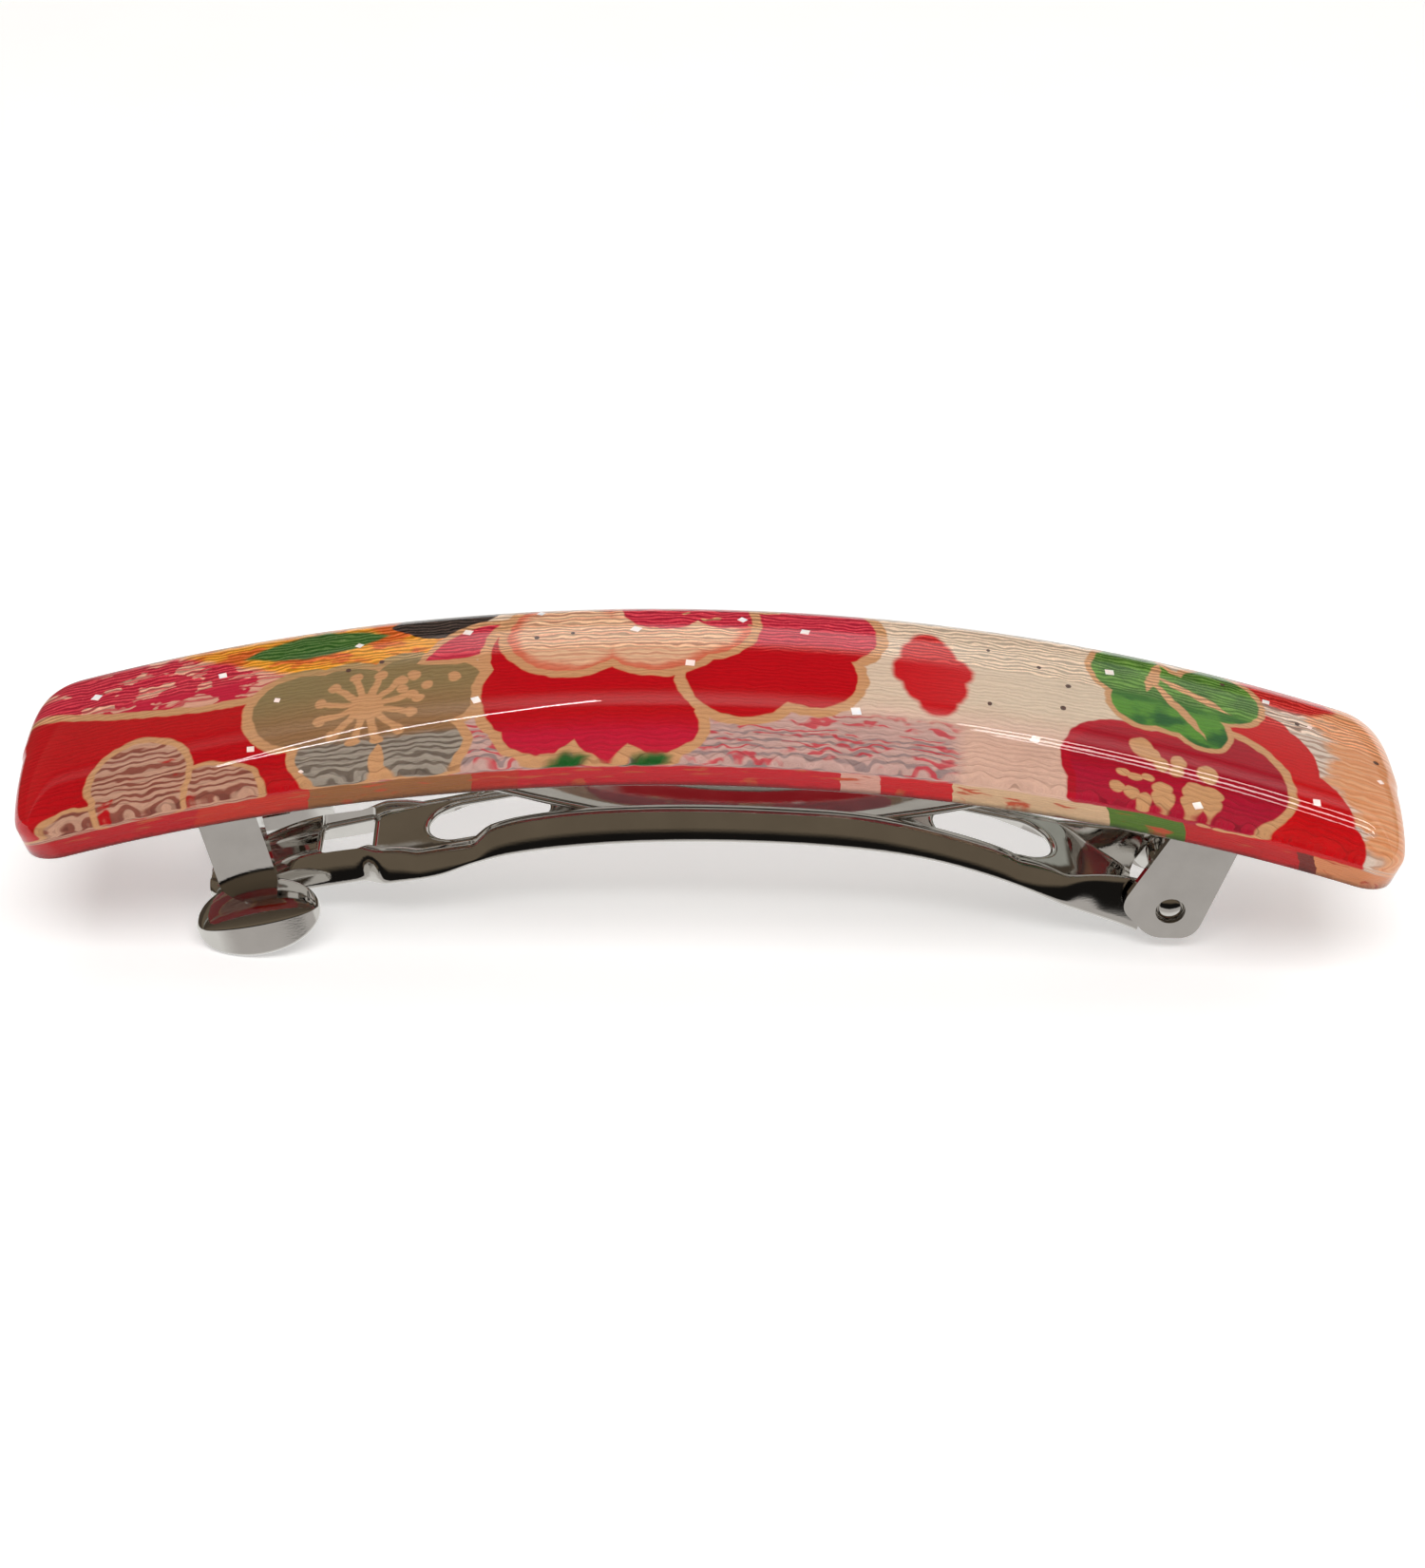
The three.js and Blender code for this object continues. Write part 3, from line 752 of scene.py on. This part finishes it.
class Crepe(Graph):
    """The crepe's drawing, on a slightly shaken copy of the cloth's plan in millimetres."""

    def __init__(self, owner):
        super().__init__(owner)
        self.flat = self.stretch(self.millimetres(), (1, 1, 0))
        shake = self.node("TexNoise", {"Vector": self.flat, "Scale": 0.8, "Detail": 1}).outputs["Color"]
        shake = self.stretch(self.vector("SUBTRACT", shake, (0.5, 0.5, 0.5)), (0.5, 0.5, 0))
        self.x, across, _ = self.parts(self.vector("ADD", shake, self.flat))
        past_fold = self.math("MINIMUM", self.minus(across, FOLD), 0)
        self.y = self.plus(across, self.times(past_fold, FOLD_RATE - 1))
        self.point = self.node("CombineXYZ", {0: self.x, 1: self.y}).outputs[0]
        self.blotch = self.noise(self.stretch(self.point, (0.35, 0.6, 1)), 1, 3)
        self.fine = self.wavy_lines(self.point, 0.66, 1.2, 0.42)

    def put(self, socket, value):
        """As in any Graph, where a name stands for an ink."""
        super().put(socket, INK[value] if isinstance(value, str) else value)

    def lobes(self, discs):
        """Millimetres inside the union of round lobes; negative outside."""
        inside = None
        for x, y, radius in discs:
            here = self.minus(radius, self.vector("DISTANCE", self.point, (x, y, 0), output="Value"))
            inside = here if inside is None else self.math("MAXIMUM", inside, here)
        return inside

    def leaf(self, centre, half_length, half_breadth, turn):
        """Millimetres inside a pointed leaf, about."""
        place = self.node(
            "Mapping",
            {"Vector": self.point, "Location": (*centre, 0), "Rotation": (0, 0, math.radians(turn))},
            vector_type="TEXTURE",
        ).outputs[0]
        x, y, _ = self.parts(place)
        along = self.math("DIVIDE", x, half_length)
        taper = self.minus(1, self.times(along, along))
        return self.minus(self.times(taper, half_breadth), self.math("ABSOLUTE", y))

    def spokes(self, centre, count, reach, breadth):
        """Millimetres inside a ring of stamens with round tips, about."""
        place = self.vector("SUBTRACT", self.point, (*centre, 0))
        x, y, _ = self.parts(place)
        angle = self.math("ARCTAN2", y, x)
        out = self.vector("LENGTH", place, output="Value")
        step = 2 * math.pi / count
        folded = self.minus(self.math("FLOORED_MODULO", angle, step), step / 2)
        across = self.math("ABSOLUTE", self.times(self.math("SINE", folded), out))
        along = self.times(self.math("COSINE", folded), out)
        stem = self.math("MINIMUM", self.minus(breadth, across), self.minus(reach, along))
        past = self.minus(along, reach)
        tip_out = self.math("SQRT", self.plus(self.math("POWER", past, 2), self.math("POWER", across, 2)))
        return self.math("MAXIMUM", stem, self.minus(breadth * 1.8, tip_out))

    def wavy_lines(self, point, pitch, swing, share):
        """1 on thin hand-drawn lines that run along the bar, share of the pitch wide."""
        drift = self.noise(self.stretch(point, (0.55, 0.9, 1)), 1, 1)
        lift = self.times(self.minus(drift, 0.5), swing)
        level = self.math("DIVIDE", self.plus(self.parts(point)[1], lift), pitch)
        wave = self.math("ABSOLUTE", self.minus(self.math("FRACT", level), 0.5))
        return self.between(wave, 0.5 - share / 2 - 0.08, 0.5 - share / 2 + 0.08)

    def over(self, base, inside, colour, soft=0.09):
        """A colour laid over the base wherever inside is above 0, its edge soft millimetres wide."""
        return self.mix(self.between(inside, -soft, soft), base, colour)

    def outlined(self, base, inside, colour, width, line="beige"):
        """The same, with a line of the given width drawn round it."""
        return self.over(self.over(base, self.plus(inside, width), line), inside, colour)


def ground(g):
    """The pale ground, rippled red and grey below the second flower."""
    colour = g.mix(g.times(g.fine, 0.10), "cream", "grey")
    colour = g.mix(g.times(g.between(g.y, 0.5, -3.5), 0.7), colour, "pink")
    low = g.times(g.between(g.y, -1.8, -3.0), g.between(g.x, 18.4, 16.4))
    colour = g.mix(g.times(low, 0.7), colour, "mauve")
    line = g.wavy_lines(g.stretch(g.point, (1.3, 1.1, 1)), 0.9, 1.4, 0.38)
    line = g.times(line, g.times(low, g.between(g.y, -3.4, -5.0)))
    colour = g.mix(g.times(line, 0.8), colour, "slate")
    broad = g.wavy_lines(g.point, 0.85, 1.9, 0.34)
    streak = g.times(broad, g.between(g.blotch, 0.44, 0.54))
    return g.mix(g.times(streak, g.times(low, 0.85)), colour, "rose")


def left_field(g, colour):
    """The red field at the left, its corner blossom and the long pink petals above."""
    colour = g.over(colour, g.minus(-28.6, g.x), "deep_red")
    pale = g.mix(g.fine, "shell", "rust")
    fill = g.mix(g.between(g.blotch, 0.6, 0.68), pale, "deep_red")
    for lobe in CORNER_BLOSSOM:
        colour = g.outlined(colour, g.lobes(lobe), fill, 0.5)
    bow = g.times(g.math("POWER", g.plus(g.x, 35), 2), 0.0165)
    above = g.minus(g.y, g.plus(bow, 2.0))
    above = g.math("MINIMUM", above, g.minus(-29.5, g.x))
    share = g.between(g.minus(g.blotch, g.times(g.x, 0.006)), 0.69, 0.73)
    petal = g.mix(share, g.mix(g.fine, "blush", "old_rose"), "crimson")
    return g.outlined(colour, above, petal, 0.8)


def gold_corner(g, colour):
    """Gold stripes and a thin leaf along the far edge."""
    slope = g.plus(g.y, g.times(g.x, 0.55))
    zone = g.math("MINIMUM", g.minus(slope, -13.0), g.minus(-18.5, g.x))
    zone = g.math("MINIMUM", zone, g.minus(g.y, 3.2))
    gold = g.mix(g.between(g.blotch, 0.45, 0.6), "gold", "amber")
    colour = g.over(colour, zone, gold, 0.4)
    green = g.mix(g.blotch, "green", "dark_green")
    return g.over(colour, g.leaf((-29.4, 7.3), 5.4, 1.5, 2), green, 0.2)


def plum_blossom(g, colour):
    """The olive plum blossom with its stamens, and a black patch and a crimson leaf beside it."""
    low_lobe = g.mix(g.fine, "ash", "lead")
    olive = g.mix(g.between(g.y, 2.0, -3.0), "olive", "bronze")
    fill = g.mix(g.between(g.y, -3.4, -4.2), olive, low_lobe)
    line = g.mix(g.between(g.y, 3.0, 4.4), "beige", "khaki")
    colour = g.outlined(colour, g.lobes(PLUM), fill, 0.75, line)
    colour = g.over(colour, g.spokes(PLUM_CENTRE, 12, 3.4, 0.27), "beige")
    colour = g.over(colour, g.lobes([(*PLUM_CENTRE, 1.3)] + PLUM_DOTS), "beige")
    colour = g.over(colour, g.leaf((-24.3, -6.6), 1.9, 0.55, 88), "beige")
    colour = g.over(colour, g.leaf((-20.0, 8.8), 4.0, 2.3, 6), "black")
    return g.outlined(colour, g.leaf((-17.4, 5.7), 4.2, 1.6, 27), "crimson", 0.6)


def peony(g, colour):
    """The big red peony, the red flower beside it and the cream petals over both."""
    fill = g.mix(g.between(g.y, -2.6, -5.6), "deep_red", "ruby")
    colour = g.outlined(colour, g.lobes(PEONY), fill, 0.8)
    for place, turn in (((-10.9, -8.0), 12), ((-5.0, -7.9), 8)):
        colour = g.over(colour, g.leaf(place, 1.8, 0.55, turn), "dark_green", 0.35)
    second = g.mix(g.between(g.y, 4.4, 5.2), "deep_red", "crimson")
    colour = g.outlined(colour, g.lobes(SECOND_FLOWER), second, 0.8)
    petals = g.lobes(CREAM_PETALS)
    cream = g.mix(g.times(g.fine, 0.5), "sand", "clay")
    border = g.between(g.plus(petals, g.times(g.blotch, 1.5)), 1.9, 0.9)
    cream = g.mix(border, cream, "terracotta")
    mottled = g.mix(g.between(g.blotch, 0.56, 0.6), "crimson", "beige")
    cream = g.over(cream, g.lobes(CRIMSON_BLOB), mottled)
    colour = g.outlined(colour, petals, cream, 0.7)
    return g.over(colour, g.lobes(SMALL_BLOSSOM), "scarlet", 0.25)


def right_end(g, colour):
    """The right end: pale ripples, a peach tip, red ground, a flower with stamens and a leaf."""
    ripple = g.mix(g.fine, "bone", "taupe")
    colour = g.mix(g.between(g.x, 37.0, 38.0), colour, ripple)
    start = g.minus(45.2, g.times(g.math("MINIMUM", g.y, 0), 0.45))
    tip = g.plus(g.minus(g.x, start), g.times(g.minus(g.blotch, 0.5), 8))
    peach = g.mix(g.times(g.fine, 0.5), "peach", "apricot")
    colour = g.over(colour, tip, peach, 0.9)
    colour = g.over(colour, g.lobes(RED_GROUND), "red")
    colour = g.over(colour, g.leaf((42.8, 8.4), 4.2, 1.9, 0), "red", 0.3)
    fill = g.mix(g.between(g.y, -3.6, -5.6), "wine", "claret")
    line = g.mix(g.between(g.x, 34.5, 35.5), "garnet", "beige")
    colour = g.outlined(colour, g.lobes(RIGHT_FLOWER), fill, 0.7, line)
    colour = g.over(colour, g.lobes(RIGHT_STAMENS), "beige")
    green = g.mix(g.between(g.y, 2.6, 4.2), "dark_green", "green")
    green = g.mix(g.between(g.blotch, 0.4, 0.6), green, "bright_green")
    colour = g.outlined(colour, g.lobes(RIGHT_LEAF), green, 0.5)
    for centre, half_length, turn in LEAF_VEINS:
        colour = g.over(colour, g.leaf(centre, half_length, 0.42, turn), "beige")
    return colour


def side_strip(g, colour):
    """The turned-down edge that shows through the near side wall."""
    along = g.math("DIVIDE", g.plus(g.x, 52), 104)
    strip = g.ramp(along, [(place, srgb(*seen)) for place, seen in SIDE_STRIP], "CONSTANT")
    strip = g.mix(g.between(g.blotch, 0.58, 0.66), strip, "brick")
    strip = g.mix(1.0, strip, (0.9, 0.85, 0.85, 1), "MULTIPLY")
    return g.mix(g.between(g.y, -8.3, -8.8), colour, strip)


def painted_wrinkle_light(g, colour, crest, weave):
    """Painted light and shade on the crepe's wrinkles: lit crests, glinting threads and shaded troughs,
    strong along the far side, faint elsewhere.
    """
    far = g.between(g.y, 3.7, 4.5)
    # Painted highlight: the wrinkle crests are made lighter and paler, most of all along the far side.
    lift = g.times(g.times(crest, weave), g.times(far, 1.3))
    lit = g.mix(1.0, colour, (1.5, 1.45, 1.4, 1), "MULTIPLY")
    colour = g.mix(lift, colour, g.mix(0.10, lit, "painted_crest_light"))
    # Painted glints: small bright specks along the threads, on the far side.
    glinting_threads = g.noise(g.stretch(g.flat, (4.5, 9, 1)), 1, 2, 0.7)
    painted_glint_mask = g.times(g.between(glinting_threads, 0.60, 0.68), g.times(far, 0.45))
    painted_glint_colour = g.mix(0.2, g.mix(1.0, colour, (2.4, 2.1, 2.0, 1), "MULTIPLY"), "painted_glint")
    colour = g.mix(painted_glint_mask, colour, painted_glint_colour)
    # Painted shade: the troughs between the crests are darkened, more along the far side, and the weave
    # makes it a little lighter or darker here and there.
    depth = g.plus(g.times(far, 0.26), 0.07)
    shade = g.minus(1, g.times(depth, g.minus(1, crest)))
    shade = g.times(shade, g.plus(0.86, g.times(weave, 0.3)))
    grey = g.node("CombineColor", {0: shade, 1: shade, 2: shade}).outputs[0]
    return g.mix(1.0, colour, grey, "MULTIPLY")


def printed_crepe():
    """Printed silk crepe: red and cream flowers, leaves and hand-drawn lines on a fine crinkled ground, with
    light and shade painted on its wrinkles.
    """
    g = Crepe(bpy.data.materials.new("printed_crepe"))
    colour = ground(g)
    for motif in (left_field, gold_corner, plum_blossom, peony, right_end, side_strip):
        colour = motif(g, colour)
    weave = g.noise(g.stretch(g.flat, (1.8, 6.5, 1)), 1, 3, 0.6)
    crest = g.wavy_lines(g.flat, 0.40, 0.9, 0.5)
    # Painted light and shade on the wrinkles go over the print.
    colour = painted_wrinkle_light(g, colour, crest, weave)
    bump = g.bump(g.plus(crest, weave), 0.5, 0.12 * MM)
    return g.finish(Base_Color=colour, Roughness=0.62, Normal=bump, Specular_IOR_Level=0.05)


# ---------------- other materials


def clear_resin():
    """Hard clear cast resin, faintly uneven at the surface, with a warm tint."""
    g = Graph(bpy.data.materials.new("clear_resin"))
    point = g.millimetres()
    swell = g.noise(g.stretch(point, (0.12, 0.3, 0.3)), 1, 1)
    bump = g.bump(swell, 0.015, 0.5 * MM)
    tint = g.mix(g.noise(point, 0.2, 2), (1.0, 0.985, 0.97, 1), (1.0, 0.995, 0.985, 1))
    rough = g.times(g.noise(point, 1.5, 3), 0.02)
    return g.finish(Base_Color=tint, Roughness=rough, Normal=bump, IOR=1.49, Transmission_Weight=1.0)


def nickel_steel():
    """Bright nickel plate with small marks and faint drawn lines."""
    g = Graph(bpy.data.materials.new("nickel_steel"))
    point = g.millimetres()
    cloud = g.noise(point, 0.35, 3)
    drawn = g.noise(g.stretch(point, (0.4, 7, 7)), 1, 3)
    pits = g.noise(point, 6, 2)
    colour = g.mix(cloud, (0.50, 0.48, 0.455, 1), (0.66, 0.64, 0.61, 1))
    rough = g.plus(g.times(cloud, 0.06), 0.035)
    bump = g.bump(g.plus(g.times(drawn, 0.5), g.times(pits, 0.5)), 0.06, 0.05 * MM)
    return g.finish(Base_Color=colour, Metallic=1.0, Roughness=rough, Normal=bump)


def glitter_foil():
    """Silvery foil that turns faintly pink and blue from flake to flake."""
    g = Graph(bpy.data.materials.new("glitter_foil"))
    tone = g.noise(g.millimetres(), 0.8, 1)
    colour = g.ramp(tone, [(0.3, (1, 0.86, 0.82, 1)), (0.5, (1, 1, 0.97, 1)), (0.7, (0.84, 0.92, 1, 1))])
    return g.finish(Base_Color=colour, Metallic=0.3, Roughness=0.35)


def dust():
    """Dark brown specks."""
    g = Graph(bpy.data.materials.new("dust"))
    colour = g.mix(g.noise(g.millimetres(), 2, 2), srgb(52, 34, 30), srgb(84, 50, 40))
    return g.finish(Base_Color=colour, Roughness=0.7)


def epoxy():
    """Dried clear glue, cloudy and a little yellow."""
    g = Graph(bpy.data.materials.new("epoxy"))
    cloud = g.noise(g.millimetres(), 0.8, 4)
    colour = g.mix(cloud, srgb(206, 190, 150), srgb(232, 222, 196))
    bump = g.bump(cloud, 0.4, 0.3 * MM)
    return g.finish(Base_Color=colour, Roughness=0.25, Normal=bump)


def pale_floor():
    """White studio paper."""
    g = Graph(bpy.data.materials.new("pale_floor"))
    fibre = g.noise(g.node("TexCoord").outputs["Object"], 60, 3)
    colour = g.mix(fibre, (0.86, 0.86, 0.86, 1), (0.90, 0.90, 0.90, 1))
    return g.finish(Base_Color=colour, Roughness=0.8, Emission_Color=colour, Emission_Strength=0.5)


# ---------------- putting the pieces together


def dress(piece, material, body=None, stands_for=()):
    """Gives a piece its only material and says what it is to the frame."""
    piece.data.materials.clear()
    piece.data.materials.append(material)
    if body:
        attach(piece, body)
    if stands_for:
        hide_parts(*stands_for)
    return piece


steel = nickel_steel()
bar = dress(resin_bar(), clear_resin(), "bar", ["resin_dome", "resin_backing"])
bar.visible_shadow = False
cloth = dress(printed_cloth(), printed_crepe(), "bar", ["fabric_sheet"])

dress(flat_bits("glitter_flakes", FLAKES, **FLAKE), glitter_foil(), "bar")
dress(flat_bits("dust_specks", SPECKS, **SPECK), dust(), "bar")

for node, width in (("base_plate", 0.12), ("hinge_pin", 0.1), ("catch_bridge", 0.1), ("catch_rivet", 0.1)):
    dress(rounded_copy(node, width), steel, "bar", [node])
for name, side in (("front", -1), ("rear", 1)):
    node, body = "catch_leg_" + name, "leg_" + name
    dress(leg_plate(node, side), steel, body, [node])
    dress(paddle("paddle_" + name, side), steel, body, [node])
spring = dress(tension_spring(), steel, "bar", ["tension_spring"])
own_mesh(spring)
for piece in locking_arm():
    dress(piece, steel, "arm", ["locking_arm"])
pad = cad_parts["adhesive_pad"]
pad.data.materials.clear()
pad.data.materials.append(epoxy())


# ---------------- studio and camera


TONES = {
    "white": (0.95, 0.95, 0.93, 1), "pale": (0.40, 0.41, 0.37, 1), "grey": (0.60, 0.58, 0.56, 1),
    "brown": (0.17, 0.135, 0.095, 1), "umber": (0.075, 0.058, 0.042, 1),
    "black": (0.012, 0.011, 0.010, 1), "red": (0.30, 0.015, 0.02, 1),
}
# Tone of the room round the bar's long axis, by angle in degrees: -180 is the level towards the
# front, -90 is down, 0 is level towards the back and 90 is up. Three tones are those of the room's
# left, middle and right; one alone runs right across.
ROOM = [
    (-180, "brown"), (-172, "black"), (-151, "black"), (-148.5, "grey"), (-136, "grey"), (-124, "white"),
    (-28, "white"), (-22, "umber", "white", "white"), (-8, "umber", "white", "white"), (-2, "umber"),
    (9, "umber"), (13, "umber", "umber", "pale"), (18, "umber", "umber", "pale"),
    (21, "brown", "white", "pale"), (28, "brown", "white", "pale"), (31, "brown", "red", "pale"),
    (48, "brown", "red", "pale"), (51, "umber"), (57, "pale", "white", "white"),
    (60, "pale", "white", "white"), (63, "umber"), (100, "umber"), (140, "brown"), (180, "brown"),
]
# Where left turns to middle and middle to right, by a direction's part along the bar.
ROOM_SEAMS = [(-0.28, -0.14), (0.14, 0.28)]
# What lies past the floor's far edge.
BACKDROP = (0.86, 0.86, 0.85, 1)
# Lamps, as (place, target, size, power, turn on its own axis in degrees), in metres and watts.
LAMPS = {
    "soft_front": ((0.0, -0.25, 0.55), (0, 0, 0), (0.6, 0.3), 2.5, 0),
    "strip_left": ((-0.165, 0.148, 0.47), (0, 0, 0), (0.33, 0.006), 0.13, 0),
    "strip_left_low": ((-0.23, 0.120, 0.47), (0, 0, 0), (0.18, 0.005), 0.05, 0),
    "strip_right_0": ((0.31, 0.100, 0.47), (0.02, 0, 0), (0.34, 0.012), 0.10, 37),
    "strip_right_1": ((0.31, 0.150, 0.47), (0.02, 0, 0), (0.34, 0.016), 0.17, 37),
    "strip_right_2": ((0.31, 0.200, 0.47), (0.02, 0, 0), (0.34, 0.010), 0.10, 37),
}


def studio():
    """A white floor in a dim room, with a soft lamp in front and long thin lamps overhead."""
    bpy.ops.mesh.primitive_plane_add(size=6, location=(0, 0, -0.02 * MM))
    floor = bpy.context.object
    floor.name = "studio_floor"
    floor.data.materials.append(pale_floor())
    floor.visible_glossy = False
    room()
    for name, values in LAMPS.items():
        lamp(name, *values)
    bpy.data.objects["soft_front"].visible_glossy = False


def room():
    """The room that the steel and the resin reflect, in long bands of tone; past the floor it is plain."""
    g = Graph(bpy.data.worlds.new("studio"), "Background")
    along, across, up = g.parts(g.node("TexCoord").outputs["Generated"])
    angle = g.math("ARCTAN2", up, across)
    share = g.share(angle, -math.pi, math.pi)
    left, *others = [
        g.ramp(share, [((row[0] + 180) / 360, TONES[row[min(column, len(row) - 1)]]) for row in ROOM])
        for column in (1, 2, 3)
    ]
    shown = left
    for tone, (low, high) in zip(others, ROOM_SEAMS):
        shown = g.mix(g.share(along, low, high), shown, tone)
    seen = g.node("LightPath").outputs["Is Camera Ray"]
    bpy.context.scene.world = g.finish(Color=g.mix(seen, shown, BACKDROP))


def lamp(name, place, target, size, power, turn):
    """A rectangular lamp that faces its target."""
    light = bpy.data.lights.new(name, "AREA")
    light.shape = "RECTANGLE"
    light.size, light.size_y = size
    light.energy = power
    holder = placed(name, light)
    holder.location = place
    away = Vector(place) - Vector(target)
    holder.rotation_euler = away.to_track_quat("Z", "Y").to_euler()
    holder.rotation_euler.rotate_axis("Z", math.radians(turn))


# Angles in degrees, distances in millimetres; drop is the target's height from the bar's underside.
CAMERA = {"turn": -1.5, "rise": 34.5, "roll": 2.2, "distance": 268, "lens": 82.45, "drop": -6.2}


def camera():
    """The camera, from its turn round the bar, its rise and its roll, in degrees and millimetres."""
    turn, rise, roll = (math.radians(CAMERA[key]) for key in ("turn", "rise", "roll"))
    back = Vector((math.sin(turn) * math.cos(rise), -math.cos(turn) * math.cos(rise), math.sin(rise)))
    level = Vector((math.cos(turn), math.sin(turn), 0))
    upright = back.cross(level)
    right = level * math.cos(roll) + upright * math.sin(roll)
    up = upright * math.cos(roll) - level * math.sin(roll)
    target = Vector((0, 0, UNDERSIDE_TOP + CAMERA["drop"]))
    place = (target + back * CAMERA["distance"]) * MM
    data = bpy.data.cameras.new("camera")
    data.lens = CAMERA["lens"]
    data.sensor_width = 36
    data.clip_start = 0.01
    holder = placed("camera", data)
    holder.matrix_world = Matrix.Translation(place) @ Matrix((right, up, back)).transposed().to_4x4()
    bpy.context.scene.camera = holder


studio()
camera()
bpy.context.scene.view_settings.view_transform = "Standard"
